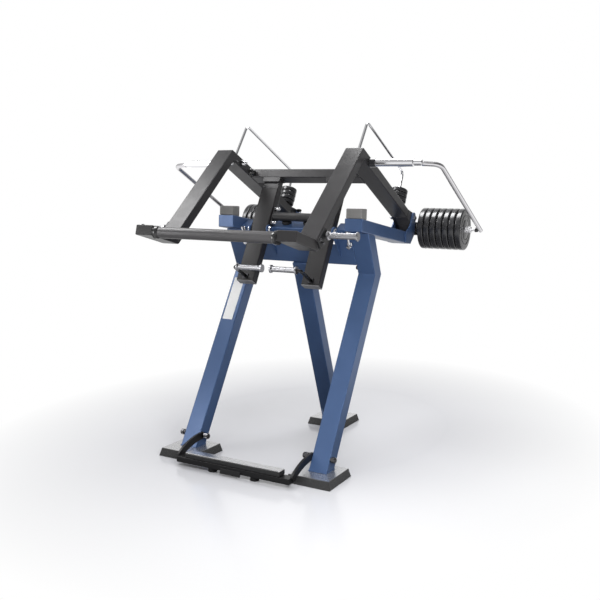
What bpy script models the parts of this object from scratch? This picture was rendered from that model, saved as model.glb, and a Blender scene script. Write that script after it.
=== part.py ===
"""Squat machine: a blue frame, a hinged squat arm with shoulder bar, a support lever and a calf step.

Metres, +Z up, +Y to the back, X = 0 is the plane of symmetry. The working places below are written as
(y, z) in the side view, with y = 0 at the front edge of the front foot plates and z = 0 on the floor.
The whole machine is then shifted so that its origin lies under the middle of its bounding box.
"""
import math

import bmesh
import bpy
from mathutils import Matrix, Vector

# Shared clearances and tube sizes
GAP = 0.0003
TUBE_WIDTH = 0.120
TUBE_INNER_X = 0.4115
TUBE_CORNER = 0.005
PLATE_THICK = 0.008
WEB_THICK = 0.006
CUT_REACH = 0.030
PIN_RADIUS = 0.010
HEAD_RADIUS = 0.019
HEAD_THICK = 0.017
STEP_HEAD_INNER = 0.050
STEP_HEAD_OUTER = 0.036
NECK_RADIUS = 0.013
NECK_LENGTH = 0.011
TUBE_OUTER_X = TUBE_INNER_X + TUBE_WIDTH

# Foot plates
FOOT_HEIGHT = 0.051
FOOT_BEVEL = 0.0133
FOOT_INNER_X = 0.321
FOOT_WIDTH = 0.293
FOOT_LENGTH = 0.304
REAR_FOOT_Y = 1.197

# Legs: front lines of the lower and upper sections, and the depth of both
LEG_FRONT_Y = 0.124
LEG_LEAN = 0.5626
KNEE_Z = 1.198
UPPER_LEAN = -0.52
LEG_DEPTH = 0.098

# Side arms
SIDE_ARM_FRONT = (0.528, 1.560)
SIDE_ARM_HEIGHT = 0.082
SIDE_ARM_SLOPE = -0.108
SIDE_ARM_REAR_Y = 1.395

# Cross beam and rear leg
BEAM_BOTTOM_Z = 1.254
BEAM_TOP_Z = 1.483
REAR_LEG_WIDTH = 0.120
REAR_LEG_TOP_Y = 0.724
REAR_LEG_TOP_Z = 1.253
REAR_LEG_LEAN = 0.452
REAR_LEG_DEPTH = 0.088

# How far each notch of the beam begins below the lever's pivot, and how far it reaches along and back
NOTCH_DROP = 0.058
NOTCH_LENGTH = 0.400
NOTCH_REACH = 0.310

# Clevises at the rear ends of the side arms: lengths ahead of and behind the ends, and offsets (y, z)
CLEVIS_TOE_REACH = 0.090
CLEVIS_LOW_REACH = 0.094
CLEVIS_TAIL_REACH = 0.007
CLEVIS_HEEL = (0.016, -0.126)
CLEVIS_NECK = (-0.012, -0.045)
CLEVIS_RISE = (0.060, 0.018)

# Rubber blocks on the side arms
BLOCK_Y = 0.531
BLOCK_LENGTH = 0.085
BLOCK_WIDTH = 0.108
BLOCK_HEIGHT = 0.062

# Squat arm: pivot, apex of the boomerang and directions of its tubes
ARM_PIVOT = (1.455, 1.570)
APEX = (0.511, 1.992)
ARM_DEPTH = 0.062
FRONT_TUBE_ANGLE = math.radians(42.1)
REAR_TUBE_ANGLE = math.radians(23.2)
REAR_TUBE_END_Y = 1.360
ELBOW_Y = -0.095
FRONT_ARM_FACE_Y = -0.325
FRONT_ARM_ANGLE = math.radians(12.5)
FRONT_ARM_DEPTH = 0.060
LUG_RADIUS = 0.040

# Shoulder bar and upper cross beam
SHOULDER_BAR_Y = -0.290
SHOULDER_BAR_DROP = 0.036
SHOULDER_BAR_RADIUS = 0.0325
BAR_FLANGE_THICK = 0.010
BAR_FLANGE_RADIUS = 0.0385
UPPER_BEAM_Y = 0.770
UPPER_BEAM_LENGTH = 0.095

# Weight carriers, horns and discs
CARRIER_Y = 1.520
CARRIER_DEPTH = 0.050
CARRIER_LOW_Z = 1.445
CARRIER_HEIGHT = 0.095
CARRIER_END_X = 0.553
HUB_TAIL_SINK = 0.004
HUB_TAIL_DROP = 0.045
HUB_HEEL = (0.020, 0.010)
HUB_THROAT = (-0.040, -0.052)
HORN_Z = 1.498
HORN_RADIUS = 0.0245
HORN_END_X = 0.937
HORN_TIP_RADIUS = 0.009
HORN_NUT_X = 0.979
HORN_COLLAR_RADIUS = 0.034
DISC_COUNT = 7
DISC_RADIUS = 0.148
DISC_THICK = 0.0456
DISC_FIRST_X = 0.580

# Loading sleeves and the bent guide rods to the horns
SLEEVE_CENTRE = (0.614, 1.907)
SLEEVE_RADIUS = 0.025
SLEEVE_STEP_RADIUS = 0.019
SLEEVE_COLLAR_RADIUS = 0.028
SLEEVE_COLLAR_LENGTH = 0.045
SLEEVE_STEP_X = 0.822
SLEEVE_END_X = 0.873
GUIDE_ROD_RADIUS = 0.0155
GUIDE_ROD_START = (0.617, 1.900)
GUIDE_ROD_STRAIGHT = 0.016
GUIDE_ROD_CORNER_X = 0.979
GUIDE_ROD_CORNER = (0.641, 1.895)
GUIDE_ROD_LOW_X = 1.003
GUIDE_ROD_BEND = 0.055

# Small horns on the rear tubes, with the loops that guide their discs
LOOP_X = 0.450
LOOP_RADIUS = 0.0095
LOOP_FOOT_Y = 0.600
LOOP_TOP = (0.745, 2.172)
SMALL_HORN_Y = 1.320
SMALL_BASE_RADIUS = 0.058
SMALL_BASE_HEIGHT = 0.036
SMALL_FOOT_RADIUS = 0.036
SMALL_FOOT_HEIGHT = 0.007
SMALL_DISC_COUNT = 3
SMALL_DISC_RADIUS = 0.061
SMALL_DISC_THICK = 0.033
SMALL_LEG_LENGTH = 0.272

# Side grips beside the elbows of the squat arm
SIDE_GRIP_CENTRE = (-0.015, 1.466)
SIDE_GRIP_START_X = 0.560
SIDE_GRIP_END_X = 0.746
GRIP_RADIUS = 0.0175
GRIP_FLANGE_RADIUS = 0.0255
GRIP_FLANGE_THICK = 0.010
BRACKET_CENTRE = (-0.038, 1.452)
BRACKET_HALF = 0.060
BRACKET_DEPTH = 0.054
BRACKET_THICK = 0.012
STEM_RADIUS = 0.012

# Support lever
LEVER_PIVOT = (0.592, 1.472)
LEVER_TOP = (0.716, 1.752)
LEVER_ANGLE = math.radians(63.34)
LEVER_LENGTH = 0.6865
LEVER_DEPTH = 0.060
LEVER_INNER_X = 0.178
LEVER_WIDTH = 0.126
EAR_RADIUS = 0.030
EAR_TIP_Z = 1.305
LINK_CENTRE = (0.657, 1.557)
LINK_RADIUS = 0.0275
LINK_FLANGE_THICK = 0.010
LINK_BOLT_REACH = 0.052
LINK_FLANGE_HALF = 0.018
BUMPER_RADIUS = 0.032
BUMPER_X = 0.080
SADDLE_THICK = 0.006
SADDLE_NOSE = 0.012
SADDLE_TAIL = 0.004
SADDLE_MARGIN = 0.005
BLOCK_INSET = 0.004
LEVER_GRIP_REACH = 0.129
LEVER_GRIP_RISE = 0.0965
LEVER_GRIP_START_X = 0.029
LEVER_GRIP_LENGTH = 0.188
LEVER_GRIP_ROD_RADIUS = 0.011
LEVER_GRIP_ROOT = 0.0297
LEVER_GRIP_BEND = 0.022

# Calf step
STEP_PIVOT = (0.178, 0.125)
STEP_BAR_HALF = 0.400
STEP_BAR_FRONT_Y = -0.098
STEP_BAR_DEPTH = 0.068
STEP_BAR_LOW_Z = 0.025
STEP_BAR_HEIGHT = 0.036
TREAD_HALF = 0.336
TREAD_HEIGHT = 0.034
TREAD_DEPTH = 0.072
TREAD_CORNER = 0.008
STEP_ARM_THICK = 0.016
STEP_ARM_BAND = 0.046
STEP_FOOT_X = 0.150
STEP_FOOT_RADIUS = 0.028
LATCH_HALF = 0.072
LATCH_THICK = 0.005

# Roundness of turned pieces
FINE = 24
MEDIUM = 16

# Colours: base colour, roughness, metallic
BLUE = ((0.085, 0.22, 0.50), 0.35, 0.2)
CHARCOAL = ((0.045, 0.043, 0.045), 0.35, 0.2)
BLACK = ((0.012, 0.012, 0.014), 0.45, 0.0)
CHROME = ((0.80, 0.80, 0.82), 0.12, 1.0)
RUBBER = ((0.11, 0.105, 0.10), 0.75, 0.0)
DARK_RUBBER = ((0.02, 0.02, 0.022), 0.55, 0.0)
DISC_BLACK = ((0.03, 0.03, 0.033), 0.40, 0.0)
STEEL = ((0.55, 0.55, 0.56), 0.35, 1.0)
FOOT_BLACK = ((0.05, 0.05, 0.052), 0.3, 0.0)


# Side view geometry: points and directions are (y, z)
def toward(angle):
    """Unit direction in the side view, counted up from the +Y direction."""
    return Vector((math.cos(angle), math.sin(angle)))


def crossing(point_a, dir_a, point_b, dir_b):
    """Where two lines of the side view cross."""
    pa, da, pb, db = Vector(point_a), Vector(dir_a), Vector(point_b), Vector(dir_b)
    turn = da.x * db.y - da.y * db.x
    offset = pb - pa
    return pa + da * ((offset.x * db.y - offset.y * db.x) / turn)


def arc(centre, radius, start, end, steps):
    """Points on an arc from one direction angle to another."""
    angles = [start + (end - start) * i / steps for i in range(steps + 1)]
    return [Vector(centre) + radius * toward(a) for a in angles]


def band(path, half):
    """Outline of a strip of the given half width along a smooth path."""
    left, right = [], []
    for i, point in enumerate(path):
        along = (Vector(path[min(i + 1, len(path) - 1)]) - Vector(path[max(i - 1, 0)])).normalized()
        side = Vector((-along.y, along.x))
        left.append(Vector(point) + side * half)
        right.append(Vector(point) - side * half)
    return left + right[::-1]


def bezier(a, b, c, d, steps):
    """Points along a cubic curve."""
    points = []
    for i in range(steps + 1):
        t = i / steps
        s = 1 - t
        points.append(s**3 * Vector(a) + 3 * s * s * t * Vector(b) +
                      3 * s * t * t * Vector(c) + t**3 * Vector(d))
    return points


# Derived lines of the side view
arm_down_front = toward(math.pi + FRONT_TUBE_ANGLE)
arm_down_rear = toward(-REAR_TUBE_ANGLE)
rear_normal = toward(math.pi / 2 - REAR_TUBE_ANGLE)
front_normal = toward(math.pi / 2 + FRONT_TUBE_ANGLE)
front_arm_dir = toward(-FRONT_ARM_ANGLE)
front_arm_normal = toward(math.pi / 2 - FRONT_ARM_ANGLE)
lever_dir = toward(LEVER_ANGLE)
lever_back = toward(LEVER_ANGLE - math.pi / 2)
lever_foot = Vector(LEVER_TOP) - lever_dir * LEVER_LENGTH
lever_hinge = Vector(LEVER_PIVOT) - lever_foot
upright = Vector((0.0, 1.0))
level = Vector((1.0, 0.0))

knee_front = Vector((LEG_FRONT_Y + LEG_LEAN * (KNEE_Z - FOOT_HEIGHT), KNEE_Z))
lower_dir = Vector((LEG_LEAN, 1.0)).normalized()
upper_dir = Vector((UPPER_LEAN, 1.0)).normalized()
lower_back = Vector((lower_dir.y, -lower_dir.x))
upper_back = Vector((upper_dir.y, -upper_dir.x))
side_arm_dir = Vector((1.0, SIDE_ARM_SLOPE)).normalized()
side_arm_under = Vector(SIDE_ARM_FRONT) - upright * SIDE_ARM_HEIGHT
elbow_top = Vector((ELBOW_Y, APEX[1] - math.tan(FRONT_TUBE_ANGLE) * (APEX[0] - ELBOW_Y)))
front_arm_under = elbow_top - front_arm_normal * FRONT_ARM_DEPTH
front_tube_under = Vector(APEX) - front_normal * ARM_DEPTH
rear_tube_under = Vector(APEX) - rear_normal * ARM_DEPTH
elbow_bottom = crossing(front_arm_under, front_arm_dir, front_tube_under, arm_down_front)
horn_y = CARRIER_Y + CARRIER_DEPTH / 2


def side_arm_top(y):
    """Height of a side arm's top face."""
    return SIDE_ARM_FRONT[1] + SIDE_ARM_SLOPE * (y - SIDE_ARM_FRONT[0])


def rear_tube_top(y):
    """Point on the top face of the boomerang's rear tube."""
    return crossing(APEX, arm_down_rear, (y, 0), upright)


def beam_front(z):
    """Point on the front plane that the cross beam shares with the legs' upper sections."""
    return crossing(knee_front, upper_dir, (0, z), level)


# The machine's reach to the front and the back, which sets where its origin lies
front_reach = FRONT_ARM_FACE_Y + front_arm_normal.x * (TUBE_CORNER - FRONT_ARM_DEPTH)
back_reach = horn_y + DISC_RADIUS
MIDDLE_Y = (front_reach + back_reach) / 2


# Scene tools
for old in list(bpy.data.objects):
    bpy.data.objects.remove(old, do_unlink=True)

collection = bpy.context.scene.collection


def empty(name, place, parent=None):
    """Empty on a joint's axis; place is (y, z) in working coordinates."""
    pivot = bpy.data.objects.new(name, None)
    collection.objects.link(pivot)
    pivot["place"] = place
    if parent is None:
        pivot.location = (0, -MIDDLE_Y, 0)
    else:
        pivot.parent = parent
        pivot.location = (0, place[0] - parent["place"][0], place[1] - parent["place"][1])
    return pivot


machine = empty("machine", (0.0, 0.0))
squat_arm = empty("squat_arm_axis", ARM_PIVOT, machine)
support_lever = empty("support_lever_axis", LEVER_PIVOT, machine)
calf_step = empty("calf_step_axis", STEP_PIVOT, machine)


def material(name, look):
    """Principled material with a base colour, a roughness and a metallic value."""
    colour, roughness, metallic = look
    made = bpy.data.materials.new(name)
    made.use_nodes = True
    shader = made.node_tree.nodes["Principled BSDF"]
    shader.inputs["Base Color"].default_value = (*colour, 1.0)
    shader.inputs["Roughness"].default_value = roughness
    shader.inputs["Metallic"].default_value = metallic
    return made


def finish(name, bm, look, pivot, smooth=True):
    """Turn a bmesh in working coordinates into an object that hangs on its pivot."""
    bmesh.ops.recalc_face_normals(bm, faces=bm.faces)
    mesh = bpy.data.meshes.new(name)
    bm.to_mesh(mesh)
    bm.free()
    if smooth:
        mesh.shade_smooth()
        mesh.set_sharp_from_angle(angle=math.radians(35))
    obj = bpy.data.objects.new(name, mesh)
    collection.objects.link(obj)
    mesh.materials.append(material(name, look))
    obj.parent = pivot
    obj.location = (0, -pivot["place"][0], -pivot["place"][1])
    return obj


def rounded(obj, width, segments=2):
    """Round the sharp edges of an object."""
    bevel = obj.modifiers.new("rounded_edges", "BEVEL")
    bevel.width = width
    bevel.segments = segments
    bevel.limit_method = "ANGLE"
    bevel.angle_limit = math.radians(40)
    return obj


def add_prism(bm, outline, x0, x1):
    """Side view outline, extruded from x0 to x1."""
    verts = [bm.verts.new((x0, p[0], p[1])) for p in outline]
    face = bm.faces.new(verts)
    grown = bmesh.ops.extrude_face_region(bm, geom=[face])
    moved = [g for g in grown["geom"] if isinstance(g, bmesh.types.BMVert)]
    bmesh.ops.translate(bm, verts=moved, vec=(x1 - x0, 0, 0))


def add_turned(bm, profile, base, axis, segments, ring=False):
    """Profile of (along, radius) points, turned about the axis through base."""
    turn = Vector(axis).to_track_quat("Z", "Y").to_matrix()
    place = Matrix.Translation(Vector(base)) @ turn.to_4x4()
    rings = []
    for along, radius in profile:
        if radius == 0:
            rings.append([bm.verts.new(place @ Vector((0, 0, along)))] * segments)
            continue
        angles = [math.tau * i / segments for i in range(segments)]
        rings.append([bm.verts.new(place @ Vector((radius * math.cos(a), radius * math.sin(a), along)))
                      for a in angles])
    join_rings(bm, rings, ring)


def join_rings(bm, rings, closed):
    """Skin between rings of vertices; a point is a ring that names one vertex over and over."""
    pairs = list(zip(rings, rings[1:])) + ([(rings[-1], rings[0])] if closed else [])
    for low, high in pairs:
        count = len(low)
        for i in range(count):
            corners = [low[i], low[(i + 1) % count], high[(i + 1) % count], high[i]]
            kept = [v for n, v in enumerate(corners) if v is not corners[n - 1]]
            if len(kept) > 2:
                bm.faces.new(kept)


def prism(name, outline, x0, x1, look, pivot, corner=0.0):
    """One extruded solid, with its sharp edges rounded."""
    bm = bmesh.new()
    add_prism(bm, outline, min(x0, x1), max(x0, x1))
    obj = finish(name, bm, look, pivot)
    return rounded(obj, corner) if corner else obj


def turned(name, profile, base, axis, look, pivot, segments=MEDIUM, ring=False):
    """One turned solid; a ring has a bore in place of a solid core."""
    bm = bmesh.new()
    add_turned(bm, profile, base, axis, segments, ring)
    return finish(name, bm, look, pivot)


def rod(name, route, radius, look, pivot, sides=12):
    """Round rod along a list of points, with closed ends."""
    bm = bmesh.new()
    points = [Vector(p) for p in route]
    rings = []
    side = None
    for i, point in enumerate(points):
        along = (points[min(i + 1, len(points) - 1)] - points[max(i - 1, 0)]).normalized()
        if side is None:
            side = Vector((0.0, 0.0, 1.0)) if abs(along.z) < 0.7 else Vector((1.0, 0.0, 0.0))
        side = (side - along * side.dot(along)).normalized()
        other = along.cross(side)
        angles = [math.tau * k / sides for k in range(sides)]
        rings.append([bm.verts.new(point + (side * math.cos(a) + other * math.sin(a)) * radius)
                      for a in angles])
    join_rings(bm, rings, False)
    bm.faces.new(rings[0])
    bm.faces.new(rings[-1])
    return finish(name, bm, look, pivot)


def unite(obj, *others):
    """Weld other shapes, which overlap it, to an object."""
    for other in others:
        hide_helper(other)
        weld = obj.modifiers.new("weld", "BOOLEAN")
        weld.operation = "UNION"
        weld.solver = "EXACT"
        weld.object = other
    return obj


def bore(obj, centre, x0, x1, pivot, radius=PIN_RADIUS + GAP):
    """Cut a round hole along X, by default one for a pin."""
    low, high = min(x0, x1), max(x0, x1)
    name = "cut_" + obj.name + "_" + str(len(obj.modifiers))
    cutter = turned(name, cylinder(high - low, radius), (low, *centre), (1, 0, 0), BLACK, pivot)
    subtract(obj, cutter)


def subtract(obj, cutter):
    """Cut a shape out of an object."""
    hide_helper(cutter)
    cut = obj.modifiers.new("cut", "BOOLEAN")
    cut.operation = "DIFFERENCE"
    cut.solver = "EXACT"
    cut.object = cutter


def hide_helper(obj):
    """Show a cutter or a welded shape as wire only."""
    obj.hide_render = True
    obj.display_type = "WIRE"


def cylinder(length, radius, edge=0.0):
    """Profile of a cylinder that starts at its base, with softened end edges."""
    if edge == 0:
        return [(0, 0), (0, radius), (length, radius), (length, 0)]
    return [(0, 0), (0, radius - edge), (edge, radius), (length - edge, radius), (length, radius - edge),
            (length, 0)]


def smooth_route(corners, radius, step=6):
    """Polyline through corners, with each inner corner rounded to the given radius."""
    points = [Vector(corners[0])]
    for before, corner, after in zip(corners, corners[1:], corners[2:]):
        before, corner, after = Vector(before), Vector(corner), Vector(after)
        arrive, leave = (corner - before).normalized(), (after - corner).normalized()
        cut = radius * math.tan(arrive.angle(leave) / 2)
        points += bezier(corner - arrive * cut, corner - arrive * cut * 0.45, corner + leave * cut * 0.45,
                         corner + leave * cut, step)
    points.append(Vector(corners[-1]))
    return points


SIDES = (("left", -1), ("right", 1))


# Fixed frame
def make_foot(name, x0, x1, y0, y1):
    """Foot plate with sloping edges."""
    bm = bmesh.new()
    low = [bm.verts.new(p) for p in ((x0, y0, 0), (x1, y0, 0), (x1, y1, 0), (x0, y1, 0))]
    base = bm.faces.new(low)
    grown = bmesh.ops.extrude_face_region(bm, geom=[base])
    centre = Vector(((x0 + x1) / 2, (y0 + y1) / 2, 0))
    for vert in [g for g in grown["geom"] if isinstance(g, bmesh.types.BMVert)]:
        vert.co.x -= math.copysign(FOOT_BEVEL, vert.co.x - centre.x)
        vert.co.y -= math.copysign(FOOT_BEVEL, vert.co.y - centre.y)
        vert.co.z = FOOT_HEIGHT
    return rounded(finish(name, bm, FOOT_BLACK, machine, smooth=False), 0.002, 1)


def make_feet():
    """Three foot plates."""
    for side, sign in SIDES:
        edges = sorted((sign * FOOT_INNER_X, sign * (FOOT_INNER_X + FOOT_WIDTH)))
        make_foot(side + "_foot", edges[0], edges[1], 0.0, FOOT_LENGTH)
    make_foot("rear_foot", -FOOT_WIDTH / 2, FOOT_WIDTH / 2, REAR_FOOT_Y, REAR_FOOT_Y + FOOT_LENGTH)


def make_legs():
    """Bent legs that stand on the foot plates and end under the side arms."""
    floor_line = Vector((0, FOOT_HEIGHT + GAP))
    under = side_arm_under - upright * GAP
    back_low = knee_front + lower_back * LEG_DEPTH
    back_high = knee_front + upper_back * LEG_DEPTH
    outline = [
        crossing(knee_front, lower_dir, floor_line, level),
        crossing(back_low, lower_dir, floor_line, level),
        crossing(back_low, lower_dir, back_high, upper_dir),
        crossing(back_high, upper_dir, under, side_arm_dir),
        crossing(knee_front, upper_dir, under, side_arm_dir),
        knee_front,
    ]
    for side, sign in SIDES:
        leg = prism(side + "_leg", outline, sign * TUBE_INNER_X, sign * TUBE_OUTER_X, BLUE, machine, TUBE_CORNER)
        bore(leg, STEP_PIVOT, sign * (TUBE_INNER_X - CUT_REACH), sign * (TUBE_OUTER_X + CUT_REACH), machine)


def make_side_arms():
    """Sloping tubes on top of the legs."""
    rear = SIDE_ARM_REAR_Y
    outline = [
        Vector(SIDE_ARM_FRONT),
        Vector((rear, side_arm_top(rear))),
        Vector((rear, side_arm_top(rear) - SIDE_ARM_HEIGHT)),
        side_arm_under,
    ]
    for side, sign in SIDES:
        prism(side + "_side_arm", outline, sign * TUBE_INNER_X, sign * TUBE_OUTER_X, BLUE, machine, TUBE_CORNER)


def make_cross_beam():
    """Beam between the legs, with a notch behind each lever arm."""
    low, high = beam_front(BEAM_BOTTOM_Z), beam_front(BEAM_TOP_Z)
    outline = [low, low + upper_back * LEG_DEPTH, high + upper_back * LEG_DEPTH, high]
    inner = TUBE_INNER_X - GAP
    beam = prism("cross_beam", outline, -inner, inner, BLUE, machine, TUBE_CORNER)
    low = lever_hinge.dot(lever_dir) - NOTCH_DROP
    high = low + NOTCH_LENGTH
    notch = [lever_line(low), lever_line(low, NOTCH_REACH), lever_line(high, NOTCH_REACH), lever_line(high)]
    for side, sign in SIDES:
        near, far = sign * (LEVER_INNER_X - GAP), sign * (LEVER_INNER_X + LEVER_WIDTH + GAP)
        subtract(beam, prism("cut_beam_" + side, notch, near, far, BLACK, machine))


def make_rear_leg():
    """Rear leg from under the cross beam down to the rear foot."""
    top = Vector((REAR_LEG_TOP_Y, REAR_LEG_TOP_Z))
    down = Vector((REAR_LEG_LEAN, -1.0)).normalized()
    back = Vector((-down.y, down.x))
    beam_low = beam_front(BEAM_BOTTOM_Z) - upper_dir * GAP
    floor_line = Vector((0, FOOT_HEIGHT + GAP))
    outline = [
        crossing(top, down, floor_line, level),
        crossing(top, down, beam_low, upper_back),
        crossing(top + back * REAR_LEG_DEPTH, down, beam_low, upper_back),
        crossing(top + back * REAR_LEG_DEPTH, down, floor_line, level),
    ]
    prism("rear_leg", outline, -REAR_LEG_WIDTH / 2, REAR_LEG_WIDTH / 2, BLUE, machine, TUBE_CORNER)


def make_blocks():
    """Rubber blocks that stop the squat arm's tubes."""
    middle = TUBE_INNER_X + TUBE_WIDTH / 2
    ends = (BLOCK_Y, BLOCK_Y + BLOCK_LENGTH)
    top = side_arm_top(BLOCK_Y) + BLOCK_HEIGHT
    outline = [(ends[0], side_arm_top(ends[0]) + GAP), (ends[1], side_arm_top(ends[1]) + GAP),
               (ends[1], top), (ends[0], top)]
    for side, sign in SIDES:
        near, far = sign * (middle - BLOCK_WIDTH / 2), sign * (middle + BLOCK_WIDTH / 2)
        prism(side + "_bump_block", outline, near, far, RUBBER, machine, 0.006)


def clevis_outline():
    """Gusset plate on a side arm, with a rounded lug about the squat arm's axis."""
    rear = SIDE_ARM_REAR_Y
    lug = arc(ARM_PIVOT, LUG_RADIUS, math.radians(-17), math.radians(160), 12)
    toe_y = rear - CLEVIS_TOE_REACH
    low_y = rear - CLEVIS_LOW_REACH
    toe = Vector((toe_y, side_arm_top(toe_y)))
    curve = bezier(lug[-1], lug[-1] + Vector(CLEVIS_NECK), toe + Vector(CLEVIS_RISE), toe, 6)
    return lug + curve[1:] + [
        Vector((low_y, side_arm_top(low_y) - SIDE_ARM_HEIGHT)),
        Vector((rear + CLEVIS_TAIL_REACH, side_arm_top(rear) - SIDE_ARM_HEIGHT)),
        Vector(ARM_PIVOT) + Vector(CLEVIS_HEEL),
    ]


def make_clevises():
    """Two cheek plates a side, joined by a web, that hold the squat arm's pins."""
    outline = clevis_outline()
    rear = SIDE_ARM_REAR_Y + GAP
    low = side_arm_top(SIDE_ARM_REAR_Y) - SIDE_ARM_HEIGHT + 0.002
    high = side_arm_top(SIDE_ARM_REAR_Y) - 0.004
    web = [(rear, low), (rear + WEB_THICK, low), (rear + WEB_THICK, high), (rear, high)]
    inner, outer = TUBE_INNER_X - GAP, TUBE_OUTER_X + GAP
    for side, sign in SIDES:
        clevis = prism(side + "_clevis", outline, sign * outer, sign * (outer + PLATE_THICK), BLUE, machine, 0.0015)
        cheek = prism("weld_cheek_" + side, outline, sign * inner, sign * (inner - PLATE_THICK), BLUE, machine, 0.0015)
        bridge = prism("weld_web_" + side, web, sign * (inner - PLATE_THICK / 2), sign * (outer + PLATE_THICK / 2),
                       BLUE, machine)
        unite(clevis, bridge, cheek)
        bore(clevis, ARM_PIVOT, sign * (inner - CUT_REACH), sign * (outer + CUT_REACH), machine)


def make_lever_ears():
    """Plates either side of each lever arm, on the front of the cross beam."""
    on_beam = beam_front(LEVER_PIVOT[1] + 0.030) - upper_back * GAP
    tip = beam_front(EAR_TIP_Z) - upper_back * GAP
    nose = arc(LEVER_PIVOT, EAR_RADIUS, math.radians(75), math.radians(205), 10)
    outline = [tip, on_beam] + nose + [tip - upper_back * 0.006]
    inner, outer = LEVER_INNER_X - GAP, LEVER_INNER_X + LEVER_WIDTH + GAP
    foot_low = beam_front(EAR_TIP_Z + 0.035) - upper_back * 2 * GAP
    foot_high = beam_front(EAR_TIP_Z + 0.085) - upper_back * 2 * GAP
    foot = [foot_low, foot_high, foot_high - upper_back * 0.005, foot_low - upper_back * 0.005]
    for side, sign in SIDES:
        ears = prism(side + "_lever_ears", outline, sign * outer, sign * (outer + PLATE_THICK), BLUE, machine, 0.0015)
        other = prism("weld_ear_" + side, outline, sign * inner, sign * (inner - PLATE_THICK), BLUE, machine, 0.0015)
        bridge = prism("weld_foot_" + side, foot, sign * (inner - PLATE_THICK / 2), sign * (outer + PLATE_THICK / 2),
                       BLUE, machine)
        unite(ears, bridge, other)
        bore(ears, LEVER_PIVOT, sign * (inner - CUT_REACH), sign * (outer + CUT_REACH), machine)


def make_bumpers():
    """Round rubber stops on top of the cross beam, under the link tube."""
    seat = beam_front(BEAM_TOP_Z) + upper_dir * GAP
    reach = Vector(LINK_CENTRE) - seat
    base = seat + upper_back * reach.dot(upper_back)
    height = reach.dot(upper_dir) - LINK_RADIUS - GAP
    for side, sign in SIDES:
        turned(side + "_lever_bumper", cylinder(height, BUMPER_RADIUS, 0.004), (sign * BUMPER_X, *base),
               (0, *upper_dir), DARK_RUBBER, machine)


def head_profile(length, neck=0.0):
    """Profile of a pin's head from the shank outwards: a thinner neck where there is one, and a domed cap."""
    dome = 0.5 * HEAD_THICK
    under = [(0, NECK_RADIUS), (neck, NECK_RADIUS)] if neck else []
    return under + [(neck, HEAD_RADIUS), (length - dome, HEAD_RADIUS), (length - 0.4 * dome, 0.8 * HEAD_RADIUS),
                    (length, 0.42 * HEAD_RADIUS), (length, 0)]


def pin_profile(length, inner_head, outer_head):
    """Pin between two heads, each given as a profile from the shank outwards."""
    return ([(-along, radius) for along, radius in inner_head[::-1]] + [(0, PIN_RADIUS), (length, PIN_RADIUS)] +
            [(length + along, radius) for along, radius in outer_head])


def make_pins():
    """Pins of the three hinges, one a side."""
    plain = head_profile(HEAD_THICK)
    step_inner = head_profile(STEP_HEAD_INNER, NECK_LENGTH)
    step_outer = head_profile(STEP_HEAD_OUTER, NECK_LENGTH)
    cheek = PLATE_THICK + 2 * GAP
    spans = (
        ("arm", ARM_PIVOT, TUBE_INNER_X - cheek, TUBE_OUTER_X + cheek, plain, plain),
        ("lever", LEVER_PIVOT, LEVER_INNER_X - cheek, LEVER_INNER_X + LEVER_WIDTH + cheek, plain, plain),
        ("step", STEP_PIVOT, TUBE_INNER_X - 2 * GAP - STEP_ARM_THICK, TUBE_OUTER_X + GAP, step_inner, step_outer),
    )
    for hinge, centre, inner, outer, inner_head, outer_head in spans:
        for side, sign in SIDES:
            turned(side + "_" + hinge + "_pin", pin_profile(outer - inner, inner_head, outer_head),
                   (sign * inner, *centre), (sign, 0, 0), CHROME, machine)


# Squat arm
def make_boomerangs():
    """Bent tubes from the elbows over the apex down to the rear hubs."""
    end_top = rear_tube_top(REAR_TUBE_END_Y)
    seam = GAP * (elbow_bottom - elbow_top).normalized().orthogonal()
    outline = [
        Vector(APEX),
        elbow_top + seam,
        elbow_bottom + seam,
        crossing(front_tube_under, arm_down_front, rear_tube_under, arm_down_rear),
        end_top - rear_normal * ARM_DEPTH,
        end_top,
    ]
    for side, sign in SIDES:
        prism(side + "_boomerang", outline, sign * TUBE_INNER_X, sign * TUBE_OUTER_X, CHARCOAL, squat_arm,
              TUBE_CORNER)


def make_front_arms():
    """Short tubes in front of the elbows."""
    face_top = crossing(elbow_top, front_arm_dir, (FRONT_ARM_FACE_Y, 0), upright)
    outline = [face_top, elbow_top, elbow_bottom, face_top - front_arm_normal * FRONT_ARM_DEPTH]
    for side, sign in SIDES:
        prism(side + "_front_arm", outline, sign * TUBE_INNER_X, sign * TUBE_OUTER_X, CHARCOAL, squat_arm,
              TUBE_CORNER)


def shoulder_centre():
    """Axis of the shoulder bar, half way down the front arms."""
    top = crossing(elbow_top, front_arm_dir, (SHOULDER_BAR_Y, 0), upright)
    return top - front_arm_normal * SHOULDER_BAR_DROP


def make_shoulder_bar():
    """Round bar between the front arms, with a flange at each end."""
    centre = shoulder_centre()
    face = TUBE_INNER_X - GAP
    wide, slim, thick = BAR_FLANGE_RADIUS, SHOULDER_BAR_RADIUS, BAR_FLANGE_THICK
    profile = [(-face, 0), (-face, wide), (thick - face, wide), (thick - face, slim), (face - thick, slim),
               (face - thick, wide), (face, wide), (face, 0)]
    turned("shoulder_bar", profile, (0, *centre), (1, 0, 0), CHARCOAL, squat_arm, FINE)


def make_upper_beam():
    """Cross beam between the rear tubes, which the lever's saddles hold up."""
    front_top = rear_tube_top(UPPER_BEAM_Y)
    back_top = front_top + arm_down_rear * UPPER_BEAM_LENGTH
    outline = [front_top, back_top, back_top - rear_normal * ARM_DEPTH, front_top - rear_normal * ARM_DEPTH]
    inner = TUBE_INNER_X - GAP
    prism("upper_cross_beam", outline, -inner, inner, CHARCOAL, squat_arm, TUBE_CORNER)


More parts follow.
